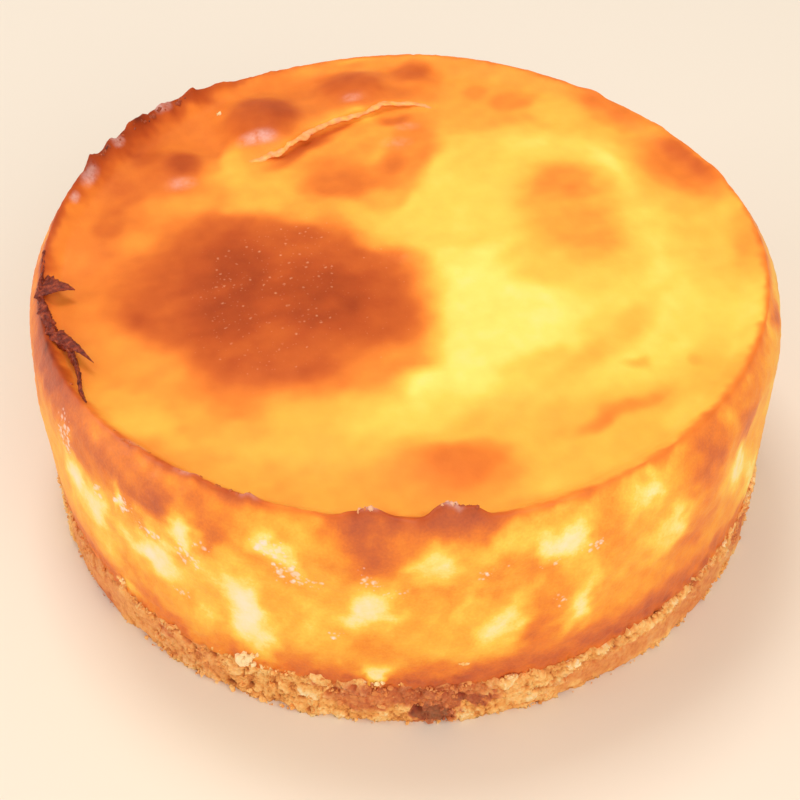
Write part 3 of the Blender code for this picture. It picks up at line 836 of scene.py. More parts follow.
class Finish:
    """A material on one Principled shader."""

    def __init__(self, name, constants):
        self.material = bpy.data.materials.new(name)
        self.material.use_nodes = True
        self.tree = self.material.node_tree
        self.shader = self.tree.nodes["Principled BSDF"]
        self.feed(self.shader, constants)

    def feed(self, node, sockets):
        """Links or sets each named or numbered socket."""
        for key, value in sockets.items():
            if isinstance(value, Number):
                self.tree.links.new(value.socket, node.inputs[key])
            else:
                node.inputs[key].default_value = value

    def node(self, kind, settings, sockets, output=0):
        """Adds a node of a type: its settings or ramp stops first, then its sockets."""
        added = self.tree.nodes.new(kind)
        for key, value in settings.items():
            if key == "stops":
                self.set_stops(added.color_ramp, value)
            else:
                setattr(added, key, value)
        self.feed(added, sockets)
        return Number(self, added.outputs[output])

    def set_stops(self, ramp, stops):
        """Gives a ramp its stops, each (position, red, green, blue)."""
        for _ in range(len(stops) - 2):
            ramp.elements.new(0.5)
        for element, (position, *levels) in zip(ramp.elements, stops):
            element.position = position
            element.color = colour(*levels)

    def ramp(self, share, stops):
        """The colour that a share has on a ramp."""
        return self.node("ShaderNodeValToRGB", {"stops": stops}, {"Fac": share}, "Color")

    def between(self, value, low, high, most=1.0):
        """0 where a value is low, rising to most where it is high."""
        sockets = {"Value": value, "From Min": low, "From Max": high, "To Max": most}
        return self.node("ShaderNodeMapRange", {}, sockets)

    def blend(self, share, first, second):
        """A mix of two colours."""
        return self.node("ShaderNodeMix", {"data_type": "RGBA"}, {0: share, 6: first, 7: second}, 2)

    def kept(self, title):
        """One of the mesh's own attributes."""
        return self.node("ShaderNodeAttribute", {"attribute_name": title}, {}, "Fac")

    def place(self, stretch=(1.0, 1.0, 1.0)):
        """The object's own coordinates, stretched."""
        raw = self.node("ShaderNodeTexCoord", {}, {}, "Object")
        return self.node("ShaderNodeMapping", {}, {"Vector": raw, "Scale": stretch})

    def noise(self, pitch, detail=3.0, stretch=(1.0, 1.0, 1.0)):
        """Noise about zero, from -0.5 to 0.5, with lumps about a pitch in millimetres across."""
        scale = 1.0 / (pitch * MM)
        sockets = {"Vector": self.place(stretch), "Scale": scale, "Detail": detail, "Roughness": 0.55}
        return self.node("ShaderNodeTexNoise", {}, sockets) - 0.5

    def dots(self, pitch, radius, chosen):
        """Soft dots in cells of a pitch in millimetres, in the share of the cells that is not
        below chosen. A radius is in pitches, and noise bends the dots by up to half a pitch."""
        scale = 1.0 / (pitch * MM)
        bent = self.node("ShaderNodeTexNoise", {}, {"Vector": self.place(), "Scale": 1.2 * scale}, "Color")
        shift = {0: bent, "Scale": 0.5 * pitch * MM}
        shift = self.node("ShaderNodeVectorMath", {"operation": "SCALE"}, shift)
        bent_place = self.node("ShaderNodeVectorMath", {"operation": "ADD"}, {0: self.place(), 1: shift})
        cells = {"Vector": bent_place, "Scale": scale, "Randomness": 1.0}
        near = self.node("ShaderNodeTexVoronoi", {}, cells, "Distance")
        chance = self.node("ShaderNodeTexVoronoi", {}, cells, "Color")
        return self.between(radius - near, -0.05, 0.16) * (chance > chosen)

    def bump(self, height, depth, under=None):
        """A bump of a height from 0 to 1 times a depth in millimetres, over another bump."""
        sockets = {"Height": height, "Distance": depth * MM, "Strength": 1.0}
        if under is not None:
            sockets["Normal"] = under
        return self.node("ShaderNodeBump", {}, sockets, "Normal")


CUSTARD_TONES = (
    (0.00, 252, 238, 208),
    (0.08, 252, 234, 184),
    (0.16, 253, 229, 148),
    (0.24, 254, 224, 108),
    (0.32, 254, 206, 84),
    (0.42, 253, 182, 68),
    (0.52, 248, 156, 56),
    (0.62, 238, 129, 44),
    (0.72, 214, 103, 35),
    (0.81, 190, 81, 27),
    (0.89, 161, 62, 19),
    (0.95, 108, 38, 18),
    (1.00, 66, 20, 14),
)


def custard_finish():
    """Baked custard: a ramp from cream through yellow and orange to burnt brown, read at the
    browning plus a fine mottling, with pale dots on the top painted as glints of tiny bubbles,
    curds on the side, a painted sheen where the side is brown, the painted highlights and an
    uneven gloss."""
    custard = Finish("baked_custard", {"Subsurface Weight": 0.2, "Subsurface Scale": 0.0015})
    custard.feed(custard.shader, {"Subsurface Radius": (1.0, 0.5, 0.2), "Specular IOR Level": 0.12})
    custard.feed(custard.shader, {"Coat Roughness": 0.26, "Coat IOR": 1.45})
    browning, top, flecks = custard.kept("browning"), custard.kept("top"), custard.kept("flecks")
    side = 1.0 - top
    mottle = (custard.noise(2.6) * 1.3 + custard.noise(0.9) * 0.6) * (0.045 - top * 0.02)
    speckle = custard.noise(0.5) * 0.12 * side
    grains = custard.noise(1.5) * side * (0.55 - browning) * 0.36
    streaks = custard.noise(3.0, stretch=(0.4, 1.0, 1.0)) * 0.015 * top
    tone = browning + mottle + speckle + streaks + grains
    skin = custard.ramp(tone, CUSTARD_TONES)
    cream = custard.between(tone, 0.32, 0.06)
    skin = custard.blend(cream * side * 0.5, skin, colour(254, 234, 206))
    # Painted highlights on the top: pale dots that stand for glints on tiny bubbles in the skin.
    dots = custard.dots(1.7, flecks * 0.17, 0.42) + custard.dots(0.9, flecks * 0.18, 0.5) * 0.5
    skin = custard.blend(dots * top * 0.42, skin, colour(255, 196, 150))
    clusters = flecks * (custard.noise(3.0, 2.0) * 2.4 + 1.0)
    curds = custard.dots(1.6, clusters * 0.42, 0.2) + custard.dots(0.85, clusters * 0.44, 0.3) * 0.8
    skin = custard.blend(curds * side * 0.62, skin, colour(255, 228, 210))
    # Painted highlights and sheen: a pale pink mixed into the skin where glints and sheen of light are
    # painted.
    painted_sheen_on_brown = custard.between(tone, 0.55, 0.8, 0.06) * side
    veil = custard.kept("veil") * (custard.noise(1.6) * 3.4 + 1.0) + painted_sheen_on_brown
    skin = custard.blend(veil, skin, colour(240, 202, 192))
    pits = custard.noise(2.2, 4.0)
    coarse = custard.bump(pits * (0.8 - top * 0.5), 0.16)
    custard.feed(custard.shader, {
        "Base Color": skin,
        "Roughness": pits * 0.14 + 0.5,
        "Coat Weight": custard.kept("gloss"),
        "Normal": custard.bump(custard.noise(0.7) * (1.0 - top * 0.8), 0.12, coarse),
    })
    return custard.material


section_radius, section_height, section_from_crest = filling_section()
turns = np.arange(FILLING_TURNS) * math.tau / FILLING_TURNS
from_crest, angle = np.meshgrid(section_from_crest, turns, indexing="ij")
radius, _ = np.meshgrid(section_radius, turns, indexing="ij")
height, _ = np.meshgrid(section_height, turns, indexing="ij")
x, y, z = filling_place(radius, height, angle, from_crest)
browning = filling_browning_and_shade(x, y, z, angle, from_crest)
on_top = smooth((from_crest + 1.5 * MM) / (2.0 * MM))
custard = custard_finish()
filling = make_piece(
    "custard_filling",
    turned_points(x, y, z, section_height[0], top_height(0.0, 0.0)),
    turned_faces(len(section_radius), FILLING_TURNS),
    custard,
    "baked_custard",
    browning=with_poles(0.5, browning, browning[-1].mean()),
    flecks=with_poles(0.0, fleck_share(x, y, z, angle, from_crest), 0.0),
    gloss=with_poles(0.0, gloss_share(x, y, z, angle, from_crest), 0.15),
    veil=with_poles(0.0, painted_shine_share(x, y, from_crest), 0.0),
    top=with_poles(0.0, on_top, 1.0),
)
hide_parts("cheese_filling")

# ---------------------------------------------------------------------------------------------
# The fold's edge. The thin skin of the top wrinkled into a fold as the cake sank; its pale
# edge overhangs a hollow. It is an oval section carried along the fold's line.

EDGE_ANGLES = (83.8, 144.5)  # degrees about the fold's centre
EDGE_LENGTH = 60.0 * MM
EDGE_HALF_WIDTH = 0.95 * MM
EDGE_HALF_HEIGHT = 0.42 * MM
EDGE_STEPS = 260
EDGE_SIDES = 20


def carried_strip(path, across, half_widths, half_heights, sides, rough, seed):
    """An oval section carried along a path of points: centre + across * w cos t + up * h sin t,
    with w and h given at each point and roughened by ridges along the strip and by nicks.
    Returns its points, first end first, and its faces."""
    ahead = np.gradient(path, axis=0)
    across = across - ahead * (np.sum(across * ahead, axis=1) / np.sum(ahead * ahead, axis=1))[:, None]
    across /= np.linalg.norm(across, axis=1, keepdims=True)
    up = np.cross(across, ahead)
    up /= np.linalg.norm(up, axis=1, keepdims=True)
    travel = np.concatenate([[0.0], np.cumsum(np.linalg.norm(np.diff(path, axis=0), axis=1))])
    travels, around = np.meshgrid(travel, np.arange(sides) * math.tau / sides, indexing="ij")
    ring_x, ring_y = round_at(MM, around)
    ridges = wander(ring_x, ring_y, 0.25 * travels, 1.6, seed)
    nicks = wander(ring_x, ring_y, travels, 1.1, seed + 1)
    uneven = 1.0 + rough * (0.6 * ridges + 0.5 * nicks)
    wide = (half_widths[:, None] * uneven * np.cos(around))[..., None]
    high = (half_heights[:, None] * uneven * np.sin(around))[..., None]
    rings = path[:, None, :] + across[:, None, :] * wide + up[:, None, :] * high
    points = np.concatenate([path[:1], rings.reshape(-1, 3), path[-1:]])
    return points, turned_faces(len(path), sides)


def outwards(path):
    """At each point of a path, the level direction away from the cake's axis."""
    return np.stack([path[:, 0], path[:, 1], np.zeros(len(path))], axis=-1)


def fold_edge():
    """The fold's edge, just over the skin behind it, wavering by wander along its length and
    fading at both ends. Returns its points, its faces and the height of its middle."""
    share = np.linspace(0.0, 1.0, EDGE_STEPS)
    length = share * EDGE_LENGTH
    degrees = np.linspace(*EDGE_ANGLES, EDGE_STEPS)
    away_x, away_y = round_at(1.0, np.radians(degrees))
    waver = wanders(length, 0.0, 0.0, (0.25, 6, 74), (0.10, 2.4, 79))
    radii = np.interp(degrees, FOLD_ANGLES, FOLD_RADII) + MM * waver
    x, y = FOLD_CENTRE[0] + radii * away_x, FOLD_CENTRE[1] + radii * away_y
    skin = top_height(x + 0.5 * MM * away_x, y + 0.5 * MM * away_y)
    fade = smooth(share / 0.2) * smooth((1.0 - share) / 0.15) + 0.02
    fuller = 0.75 + 0.25 * smooth((share - 0.45) / 0.3)
    size = fade * fuller * (1.0 + 0.20 * wander(length, 0.0, 0.0, 3.6, 75))
    path = np.stack([x, y, skin - 0.28 * MM * size - 0.14 * MM], axis=-1)
    half_widths, half_heights = EDGE_HALF_WIDTH * size, EDGE_HALF_HEIGHT * size
    points, faces = carried_strip(path, outwards(path), half_widths, half_heights, EDGE_SIDES, 0.15, 76)
    return points, faces, path[:, 2:]


def edge_paint(points, middle):
    """The edge's browning and painted shine: painted shade under its middle, a painted highlight
    above it, and the same as the top's skin at its ends."""
    x, y, z = points[1:-1].reshape(EDGE_STEPS, EDGE_SIDES, 3).transpose(2, 0, 1)
    share = np.linspace(0.0, 1.0, EDGE_STEPS)[:, None]
    inside = smooth(6.0 * np.minimum(share, 1.0 - share))
    # Painted shade under the edge's middle, where it overhangs.
    browning = 0.50 + 0.14 * smooth((middle - z - 0.05 * MM) / (0.3 * MM))
    browning = top_browning_and_shade(x, y) * (1.0 - inside) + browning * inside
    browning = browning + 0.05 * wander(x, y, z, 1.8, 78)
    return browning, 0.15 * inside * smooth(1.0 + (z - middle) / (0.3 * MM))


edge_points, edge_faces, edge_middle = fold_edge()
edge_browning_and_shade, edge_painted_shine = edge_paint(edge_points, edge_middle)
make_piece(
    "fold_edge",
    edge_points,
    edge_faces,
    custard,
    "baked_custard",
    browning=with_poles(0.5, edge_browning_and_shade, 0.5),
    flecks=0.0,
    gloss=0.3,
    top=1.0,
    veil=with_poles(0.0, edge_painted_shine, 0.0),
)

# ---------------------------------------------------------------------------------------------
# The burnt skin. Batter that dried on the tin above the cake, burnt dark and brittle. It runs
# along the left of the rim and has torn into two shards that lean in over the top. All are oval
# sections carried along paths.

# The strip along the rim, (angle in degrees, distance from the axis, half width) in millimetres.
BURNT_STRIP = (
    (-182.0, 71.5, 0.2),
    (-177.0, 71.6, 0.4),
    (-173.0, 71.4, 0.5),
    (-169.0, 71.0, 0.9),
    (-165.6, 70.6, 1.1),
    (-163.4, 70.4, 1.1),
    (-161.1, 69.3, 0.8),
    (-158.4, 68.0, 0.6),
    (-156.2, 67.9, 0.5),
    (-153.4, 68.4, 0.4),
    (-150.3, 69.2, 0.35),
    (-147.9, 69.9, 0.3),
    (-145.2, 70.7, 0.15),
)
BURNT_HALF_HEIGHT = 1.0 * MM
BURNT_STEPS = 300
# (angle and radius of the foot, the same of the tip, half width of the foot)
SHARDS = (
    (-173.9, 71.4 * MM, -171.6, 64.7 * MM, 3.3 * MM),
    (-162.5, 69.6 * MM, -152.9, 65.2 * MM, 1.6 * MM),
)
SHARD_HALF_THICKNESS = 0.45 * MM
SHARD_LIFT = 0.8 * MM
SHARD_STEPS = 110


def arc_path(degrees, radii, heights):
    """Points at the given directions, distances from the cake's axis and heights."""
    return np.stack([*round_at(radii, np.radians(degrees)), heights], axis=-1)


def burnt_edge():
    """The ragged upright strip along the rim, thinning to nothing at both ends."""
    corner_degrees, corner_radii, corner_widths = np.array(BURNT_STRIP).T
    degrees = np.linspace(corner_degrees[0], corner_degrees[-1], BURNT_STEPS)
    angles = np.radians(degrees)
    radii = np.interp(degrees, corner_degrees, corner_radii) * MM + 0.2 * MM * np.sin(31.0 * angles)
    heights = RIM_HEIGHT + waves(RIM_WAVES, angles) + 0.25 * MM * np.sin(47.0 * angles) - 0.1 * MM
    path = arc_path(degrees, radii, heights)
    widths = np.interp(degrees, corner_degrees, corner_widths) * MM
    fade = 0.1 + 0.9 * np.sin(np.linspace(0.0, math.pi, BURNT_STEPS)) ** 0.6
    return carried_strip(path, outwards(path), widths, BURNT_HALF_HEIGHT * fade, 24, 0.5, 81)


def burnt_shard(foot_degrees, foot_radius, tip_degrees, tip_radius, half_width, seed):
    """A thin shard from the rim to a tip over the top, narrowing evenly and a little arched."""
    share = np.linspace(0.0, 1.0, SHARD_STEPS)
    foot = arc_path(foot_degrees, foot_radius, RIM_HEIGHT + waves(RIM_WAVES, math.radians(foot_degrees)))
    tip = arc_path(tip_degrees, tip_radius, foot[2] + 0.3 * MM)
    path = foot + (tip - foot) * share[:, None]
    path[:, 2] += SHARD_LIFT * np.sin(2.6 * share)
    level = np.cross(tip - foot, (0.0, 0.0, 1.0))
    taper = half_width * (1.0 - share) + 0.05 * MM
    thin = SHARD_HALF_THICKNESS * (1.0 - 0.7 * share)
    return carried_strip(path, np.tile(level, (SHARD_STEPS, 1)), taper, thin, 28, 0.2, seed)


def joined(shapes):
    """Several shapes' points and faces as one."""
    points = np.concatenate([shape[0] for shape in shapes])
    faces, start = [], 0
    for shape in shapes:
        faces += [[start + corner for corner in face] for face in shape[1]]
        start += len(shape[0])
    return points, faces


BURNT_TONES = (
    (0.30, 84, 24, 14),
    (0.48, 126, 42, 20),
    (0.60, 160, 62, 30),
    (0.75, 198, 96, 52),
)


def burnt_finish():
    """Burnt batter: dark reddish brown with redder places, rough and a little shiny."""
    burnt = Finish("burnt_skin", {"Specular IOR Level": 0.3})
    tone = burnt.noise(1.0, 5.0) + 0.5
    fine = burnt.noise(0.45, 4.0)
    burnt.feed(burnt.shader, {
        "Base Color": burnt.ramp(tone, BURNT_TONES),
        "Roughness": 0.36 + fine * 0.5,
        "Normal": burnt.bump(fine, 0.30, burnt.bump(tone, 0.4)),
    })
    return burnt.material


strips = [burnt_edge()] + [burnt_shard(*shard, 83 + 2 * number) for number, shard in enumerate(SHARDS)]
make_piece("burnt_skin", *joined(strips), burnt_finish(), "baked_custard")

# ---------------------------------------------------------------------------------------------
# Rim bits. Lumps of browned and burnt crust half sunk in the rim, where batter stuck to the
# tin, and one pale curd on the top. Each is a lumpy ball on a small grid of its own.

# (angle, half width in degrees, distance in from the rim, how many, size, browning)
RIM_BITS = (
    (143.0, 13.0, 0.3, 40, 0.6, 0.88),
    (-95.0, 1.0, 0.0, 7, 0.5, 0.56),
    (-84.0, 1.2, 0.0, 8, 0.5, 0.56),
    (-82.0, 1.4, 0.0, 8, 0.5, 0.86),
    (-116.0, 5.0, 0.1, 16, 0.45, 0.78),
    (-136.0, 10.0, 0.1, 22, 0.45, 0.70),
    (128.7, 0.0, 7.6, 1, 0.9, 0.30),
)


def lumpy_balls(centres, sizes, rings, turns, seed, lump):
    """Balls of the given sizes at the given places, each squashed and turned at random and
    uneven by a random share at each of its points. Returns the points, the faces, and each
    point's ball by its number."""
    draw = np.random.default_rng(seed)
    count = len(centres)
    tilts = (np.arange(rings) + 1) * math.pi / (rings + 1)
    tilt, turn = np.meshgrid(tilts, np.arange(turns) * math.tau / turns, indexing="ij")
    shape = np.stack([*round_at(np.sin(tilt), turn), -np.cos(tilt)], axis=-1)
    shape = np.concatenate([[(0.0, 0.0, -1.0)], shape.reshape(-1, 3), [(0.0, 0.0, 1.0)]])
    uneven = 1.0 + lump * draw.uniform(-1.0, 1.0, (count, len(shape), 1))
    squash = draw.uniform(0.5, 1.25, (count, 1, 3))
    spin = np.linalg.qr(draw.normal(size=(count, 3, 3)))[0]
    spin *= np.sign(np.linalg.det(spin))[:, None, None]
    local = np.einsum("npi,nji->npj", shape[None] * uneven * squash, spin)
    points = centres[:, None, :] + local * sizes[:, None, None]
    faces = turned_faces(rings, turns)
    _, faces = joined([(ball, faces) for ball in points])
    return points.reshape(-1, 3), faces, np.repeat(np.arange(count), len(shape))


def scattered(table, seed, smallest, uneven, placed):
    """Places, sizes and tones of bits drawn at random for each row of a table, which ends in
    how many, size and tone: sizes from a smallest share to 1.2 of the size, and uneven tones.
    placed draws the places about the rest of the row."""
    draw = np.random.default_rng(seed)
    places, sizes, tones = [], [], []
    for *spot, count, size, tone in table:
        places.append(placed(draw, count, *spot))
        sizes.append(size * draw.uniform(smallest, 1.2, count) * MM)
        tones.append(tone + draw.normal(0.0, uneven, count))
    return np.concatenate(places), np.concatenate(sizes), np.concatenate(tones)


def on_rim(draw, count, degrees, half_width, inwards):
    """Places on the skin along the rim, just inside its crest."""
    radii = RIM_RADIUS - (inwards + np.abs(draw.normal(0.0, 0.4, count))) * MM
    places = arc_path(draw.normal(degrees, half_width / 1.5, count), radii, 0.0 * radii)
    places[:, 2] = top_height(places[:, 0], places[:, 1])
    return places


places, sizes, tones = scattered(RIM_BITS, 89, 0.5, 0.04, on_rim)
places[:, 2] -= 0.45 * sizes
tones = np.clip(tones, 0.02, 0.97)
bit_points, bit_faces, ball = lumpy_balls(places, sizes, 6, 10, 88, 0.30)
make_piece(
    "rim_bits",
    bit_points,
    bit_faces,
    custard,
    "baked_custard",
    browning=tones[ball],
    flecks=0.0,
    gloss=0.4,
    # Painted shine on the paler bits.
    veil=np.where(tones < 0.6, 0.4, 0.0)[ball],
    top=0.5,
)

# ---------------------------------------------------------------------------------------------
# The biscuit base. Crushed biscuit and butter pressed into the tin under the filling: smooth
# where the tin pressed it, broken into crumbs along its top edge, at its foot and in places
# between. It is a turned surface whose wall is cut into chunks by cracks.

WALL_RADIUS = 74.7 * MM
BASE_TURNS = 1800
WALL_RINGS = 44
# (pitch, depth of the cracks and height of the chunks in millimetres, seed)
CHUNKS = (
    (5.0, 0.34, 0.66, 90),
    (2.6, 0.32, 0.50, 91),
    (1.3, 0.18, 0.30, 92),
    (0.7, 0.10, 0.20, 93),
)
CHUNK_ROWS = 64  # more than there are up the wall
FIRST_ROW = 8.0  # the row of chunks at the table
# Stains on the wall, one of them partly painted shade, (angle, height, half width, half height,
# lean, tone, soft edge): 0.5 is reddish and 1 burnt.
STAINS_AND_SHADE = (
    (-90, 9.5, 15, 4.0, 0, 0.62, 3.5),
    (-97, 7.0, 6, 3.4, 0, 0.55, 3),
    (-86.8, 2.8, 4.6, 3.0, 0, 0.84, 2.5),
    (-87.2, 3.0, 3.0, 1.6, 0, 0.92, 2),
    (-80.5, 6.0, 5.4, 1.7, 0, 0.74, 2),
    (-104, 10, 1.3, 1.1, 0, 0.6, 1.2),
    (-56, 4.5, 19, 3.4, 0, 0.42, 3),
    (-128, 6, 16, 6, 0, 0.34, 5),
    (-40, 5, 8, 6, 0, 0.46, 6),
    # Partly burnt and partly painted shade, where the base's right side lies in shadow.
    (-25, 6, 10, 4, 0, 0.62, 8),
    (-129, 9, 2, 1.6, 0, 0.55, 2),
    (-148, 6, 12, 9, 0, 0.42, 5),
    (-145, 1.5, 4, 2, 0, 0.6, 2),
)


def chunks(along, up, pitch, seed):
    """Chunks of biscuit, one in each square cell of a wall: for every point, how far it lies
    inside its chunk (the second nearest centre's distance less the nearest's) and the height
    of that chunk, drawn at random with a slant."""
    draw = np.random.default_rng(seed)
    cells = int(round(math.tau * CAKE_RADIUS / pitch))
    jitter = draw.uniform(size=(5, cells, CHUNK_ROWS))
    column, row = along / (math.tau * CAKE_RADIUS) * cells, up / pitch + FIRST_ROW
    nearest, second, height = np.full_like(column, 9.0), np.full_like(column, 9.0), np.zeros_like(column)
    for step in range(9):
        cell_x = np.floor(column).astype(int) + step % 3 - 1
        cell_y = np.floor(row).astype(int) + step // 3 - 1
        shift_x, shift_y, lift, slant_x, slant_y = jitter[:, cell_x % cells, cell_y % CHUNK_ROWS]
        from_x, from_y = column - cell_x - shift_x, row - cell_y - shift_y
        away = np.hypot(from_x, from_y)
        closer = away < nearest
        slanted = lift + 0.9 * (slant_x - 0.5) * from_x + 0.9 * (slant_y - 0.5) * from_y
        second = np.where(closer, nearest, np.minimum(second, away))
        height = np.where(closer, slanted, height)
        nearest = np.where(closer, away, nearest)
    return second - nearest, height


def broken(angle, share):
    """How broken the wall is at a share of its height, from 0.1 where the tin pressed it smooth
    to 1 along its top edge, at its foot and in patches."""
    x, y = round_at(CAKE_RADIUS, angle)
    patches = smooth(0.5 + 1.2 * wander(x, y, 14 * MM * share, 11, 94))
    crumbly = oval(wall_across(angle, -98), 12 * share - 6, 36, 8, 0, 8)
    edge = smooth((share - 0.66 + 0.14 * wander(x, y, 0.0, 8, 95)) / 0.16)
    foot = smooth((0.18 - share + 0.08 * wander(x, y, 0.0, 7, 96)) / 0.14)
    pressed = oval(wall_across(angle, -54), 12 * share - 4.2, 18, 3.6, 0, 2)
    pressed = pressed + 0.5 * oval(wall_across(angle, -146), 12 * share - 6, 16, 9, 0, 4)
    rubble = np.maximum(np.maximum(edge, foot), np.maximum(patches, 0.85 * crumbly))
    return np.clip(rubble * (1.0 - 0.85 * np.minimum(pressed, 1.0)), 0.1, 1.0)


def wall_relief(angle, up, share):
    """How far the wall stands out, and its chunks' tone from 0 in a crack to 1 on a chunk: the
    sum over the sizes of chunk, whose outlines wander bends, less the holes. The tone is painted
    light and shade: dark in the cracks and holes, light on proud chunks."""
    x, y = round_at(CAKE_RADIUS, angle)
    along = (angle % math.tau) * CAKE_RADIUS + MM * wanders(x, y, up, (0.35, 3, 103), (0.35, 1.2, 109))
    bent = up + MM * wanders(x, y, up, (0.35, 3, 104), (0.35, 1.2, 110))
    rise, tone = 0.0, 0.0
    for pitch, crack, lift, seed in CHUNKS:
        inside, height = chunks(along, bent, pitch * MM, seed)
        whole = smooth(inside / 0.25)
        rise = rise + MM * (crack * (whole - 1.0) + lift * (height - 0.5) * whole)
        # Painted light and shade: lighter on whole, proud chunks, darker in the cracks.
        tone = tone + (0.55 * whole + 0.45 * height * whole) * (crack + lift)
    tone = tone / sum(crack + lift for _, crack, lift, _ in CHUNKS)
    near_top = smooth((share - 0.7) / 0.2)
    rough = broken(angle, share)
    holes = smooth((wander(x, y, up, 4.0, 111) - 1.0 + 0.25 * near_top) / 0.3) * rough
    # Painted shade darkens the holes.
    return rise * rough - 1.1 * MM * holes, tone * (1.0 - 0.8 * holes)


def ragged_top(angle):
    """Height of the biscuit's ragged top edge over the table, worn down at the front right."""
    x, y = round_at(CAKE_RADIUS, angle)
    rough = wanders(x, y, 0.0, (0.6, 9, 105), (0.5, 3.2, 106), (0.4, 1.4, 107))
    worn = 1.6 * MM * oval(wall_across(angle, -56), 0.0, 28, 9, 0, 12)
    return seat_height(CAKE_RADIUS, angle) - 0.5 * MM + rough * 0.8 * MM - worn


def base_surface():
    """The base's rings from its underside up the wall and in over its top: on the wall the
    radius is the wall's + relief + slow wander - the tuck of its foot and top edge."""
    turns = np.arange(BASE_TURNS) * math.tau / BASE_TURNS
    shares = np.concatenate([np.zeros(3), np.linspace(0.0, 1.0, WALL_RINGS), np.ones(3)])
    inwards = np.concatenate([[45, 15, 3], np.zeros(WALL_RINGS), [1.2, 3.5, 20]]) * MM
    share, angle = np.meshgrid(shares, turns, indexing="ij")
    inward, _ = np.meshgrid(inwards, turns, indexing="ij")
    height = share * ragged_top(angle)
    relief, tone = wall_relief(angle, height, share)
    x, y = round_at(CAKE_RADIUS, angle)
    slow = 0.2 * MM * wander(x, y, height, 14, 97)
    hollow = 1.3 * MM * smooth(wander(x, y, 0.0, 6, 108) - 0.5) * smooth((0.14 - share) / 0.1)
    ledge = 0.5 * MM * smooth((share - 0.68) / 0.1) * oval(wall_across(angle, -60), 0.0, 26, 9, 0, 8)
    tuck = 0.3 * MM * (1.0 - smooth(share / 0.10)) + 0.6 * MM * smooth((share - 0.9) / 0.1) ** 2
    tuck = tuck + hollow - ledge
    wall = inward == 0.0
    x, y = round_at(WALL_RADIUS + (relief + slow) * wall - tuck - inward, angle)
    height = np.where(share > 0.0, height + 0.2 * MM * (tone - 0.5) * wall, 0.0)
    return x, y, np.maximum(height, 0.0), tone, angle, share


def stain_and_shade_share(x, y, z, angle):
    """How stained the biscuit's wall is, with its painted shade, from 0 to 1: the stains painted
    over faint patches, their outlines bent by wander."""
    bend = wanders(x, y, z, (0.9, 4, 98), (0.5, 1.6, 101))
    up = z / MM + wanders(x, y, z, (0.9, 4, 99), (0.5, 1.6, 102))
    faint = 0.25 * smooth(wander(x, y, z, 12, 100) - 0.5)
    return painted(faint, STAINS_AND_SHADE, bend, up, angle)


CRUMB_TONES = (
    (0.00, 128, 58, 22),
    (0.25, 206, 122, 54),
    (0.50, 242, 168, 86),
    (0.75, 254, 198, 120),
    (1.00, 255, 226, 172),
)
STAIN_AND_SHADE_TONES = (
    (0.00, 236, 156, 88),
    (0.50, 214, 108, 58),
    (0.75, 166, 68, 44),
    (1.00, 98, 28, 28),
)


def biscuit_finish():
    """Buttered crumb: tan, painted lighter on proud chunks and darker in the cracks as light and
    shade, reddish to burnt where it is stained and in one painted shadow, grained by noise, with a
    slight shine."""
    biscuit = Finish("biscuit_crumb", {"Specular IOR Level": 0.35, "Subsurface Weight": 0.1})
    biscuit.feed(biscuit.shader, {"Subsurface Radius": (1.0, 0.5, 0.25), "Subsurface Scale": 0.001})
    tone = biscuit.kept("tone") + biscuit.noise(5.0) * 0.5 + biscuit.noise(1.4, 4.0) * 0.4
    tone = tone + biscuit.noise(0.4, 2.0) * 0.3
    stain = biscuit.kept("stain") + biscuit.noise(1.2, 4.0) * 0.45
    crumb, burnt = biscuit.ramp(tone, CRUMB_TONES), biscuit.ramp(stain, STAIN_AND_SHADE_TONES)
    fine = biscuit.noise(0.35)
    biscuit.feed(biscuit.shader, {
        "Base Color": biscuit.blend(biscuit.between(stain, 0.15, 0.6, 0.85), crumb, burnt),
        "Roughness": 0.68 + fine * 0.25,
        "Normal": biscuit.bump(fine, 0.16),
    })
    return biscuit.material


x, y, z, tone, angle, share = base_surface()
biscuit = biscuit_finish()
base = make_piece(
    "biscuit_wall",
    turned_points(x, y, z, 0.0, z[-1].mean()),
    turned_faces(len(x), BASE_TURNS),
    biscuit,
    "biscuit_crumb",
    tone=with_poles(0.5, 0.5 + (tone - 0.5) * (0.35 + 0.65 * broken(angle, share)), 0.5),
    stain=with_poles(0.0, stain_and_shade_share(x, y, z, angle), 0.0),
)
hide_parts("biscuit_base")

# ---------------------------------------------------------------------------------------------
# Torn bits. Pale lumps of crumb and curd half sunk in the wall along the joint, where the
# filling and the biscuit tore from the tin. Each is a lumpy ball on a small grid of its own.

CHIP_GRID = (3, 6)  # rings and turns of the smallest lumps
# (angle, height, half width, half height, how many, size), in millimetres, and their tone
TORN_BITS = (
    (-114.2, 12.2, 2.0, 1.6, 12, 1.0, 0.98),
    (-112.8, 14.2, 0.8, 1.0, 6, 0.6, 0.95),
    (-82.2, 17.6, 1.0, 0.6, 4, 0.7, 0.85),
    (-94.8, 12.4, 2.0, 0.5, 6, 0.7, 0.95),
    (-33.0, 11.0, 0.6, 0.6, 3, 1.2, 0.95),
    (-137.5, 14.0, 2.2, 0.6, 6, 0.6, 0.8),
    (-74.5, 10.6, 3.0, 0.8, 10, 0.8, 0.78),
    (-66.0, 9.6, 3.0, 0.7, 8, 0.8, 0.74),
)


def in_joint(draw, count, degrees, height, half_width, half_height):
    """Places half sunk in the wall about a direction and a height."""
    across = degrees + np.degrees(draw.normal(0.0, half_width / 2, count) * MM / CAKE_RADIUS)
    up = (height + draw.normal(0.0, half_height / 2, count)) * MM
    return arc_path(across, np.full(count, CAKE_RADIUS - 0.4 * MM), up)


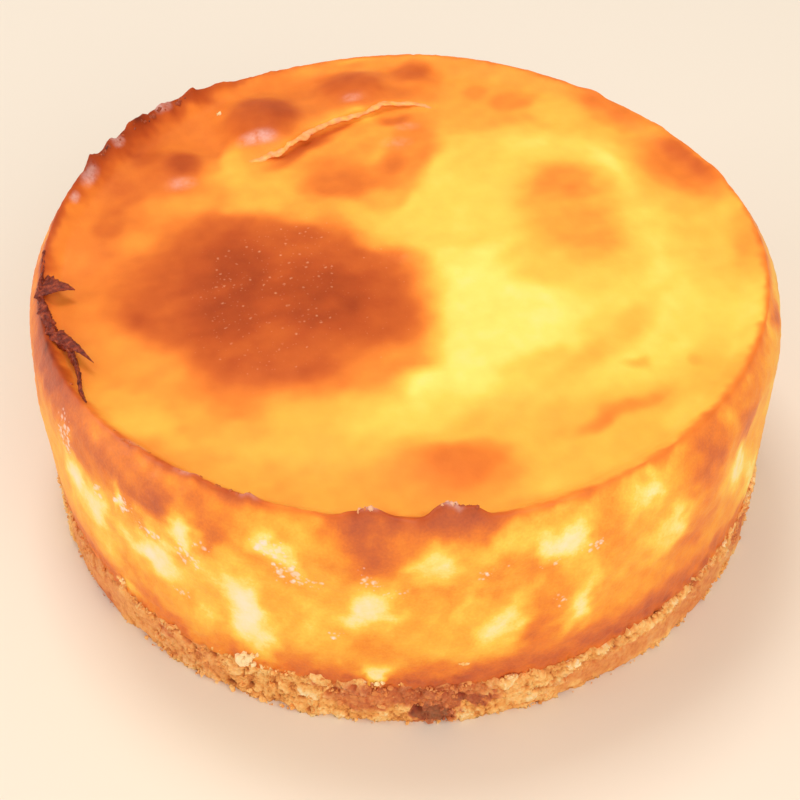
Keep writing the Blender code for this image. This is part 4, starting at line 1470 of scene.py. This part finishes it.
places, sizes, tones = scattered(TORN_BITS, 87, 0.35, 0.1, in_joint)
torn_points, torn_faces, ball = lumpy_balls(places, sizes, *CHIP_GRID, 90, 0.34)
torn = make_piece("torn_bits", torn_points, torn_faces, biscuit, "biscuit_crumb", tone=tones[ball], stain=0.0)
torn.data.shade_flat()

# ---------------------------------------------------------------------------------------------
# Crumbs. Chips of biscuit that stick to the broken parts of the base's wall, most of them
# along its top edge and at its foot. Each is a lumpy ball on a small grid of its own.

CRUMB_DRAWS = 9000


def crumb_places():
    """Places, sizes and tones of the crumbs, drawn at random: three in ten about the top edge,
    half anywhere and the rest at the foot, kept where the wall is broken and in thick patches."""
    draw = np.random.default_rng(101)
    angle = draw.uniform(-math.pi, math.pi, CRUMB_DRAWS)
    zone = draw.random(CRUMB_DRAWS)
    about_top = 0.95 + 0.09 * draw.normal(size=CRUMB_DRAWS)
    anywhere = draw.random(CRUMB_DRAWS)
    at_foot = np.abs(0.07 * draw.normal(size=CRUMB_DRAWS))
    share = np.where(zone < 0.3, about_top, np.where(zone > 0.85, at_foot, anywhere))
    share = np.clip(share, 0.0, 1.04)
    x, y = round_at(CAKE_RADIUS, angle)
    thick = smooth(0.5 + 0.9 * wander(x, y, 12 * MM * share, 5, 112))
    kept = draw.random(CRUMB_DRAWS) < 0.62 * thick * broken(angle, share) ** 1.5
    angle, share = angle[kept], share[kept]
    size = (0.14 + 0.66 * draw.random(len(angle)) ** 5.0) * MM
    height = share * (ragged_top(angle) - 1.6 * size) + 0.8 * size
    radius = WALL_RADIUS + 0.1 * MM - 0.45 * size
    return arc_path(np.degrees(angle), radius, height), size, draw.uniform(0.40, 0.80, len(angle))


places, sizes, tones = crumb_places()
crumb_points, crumb_faces, ball = lumpy_balls(places, sizes, *CHIP_GRID, 102, 0.50)
x, y, z = crumb_points.T
crumbs = make_piece(
    "crumbs",
    crumb_points,
    crumb_faces,
    biscuit,
    "biscuit_crumb",
    tone=tones[ball],
    stain=0.8 * stain_and_shade_share(x, y, z, np.arctan2(y, x)),
)
crumbs.data.shade_flat()

# ---------------------------------------------------------------------------------------------
# The table's finish, plain and pale. It comes last, after the class that makes finishes.

table_finish = Finish("pale_table", {"Base Color": colour(236, 224, 206), "Roughness": 0.6})
table_mesh.materials.append(table_finish.material)
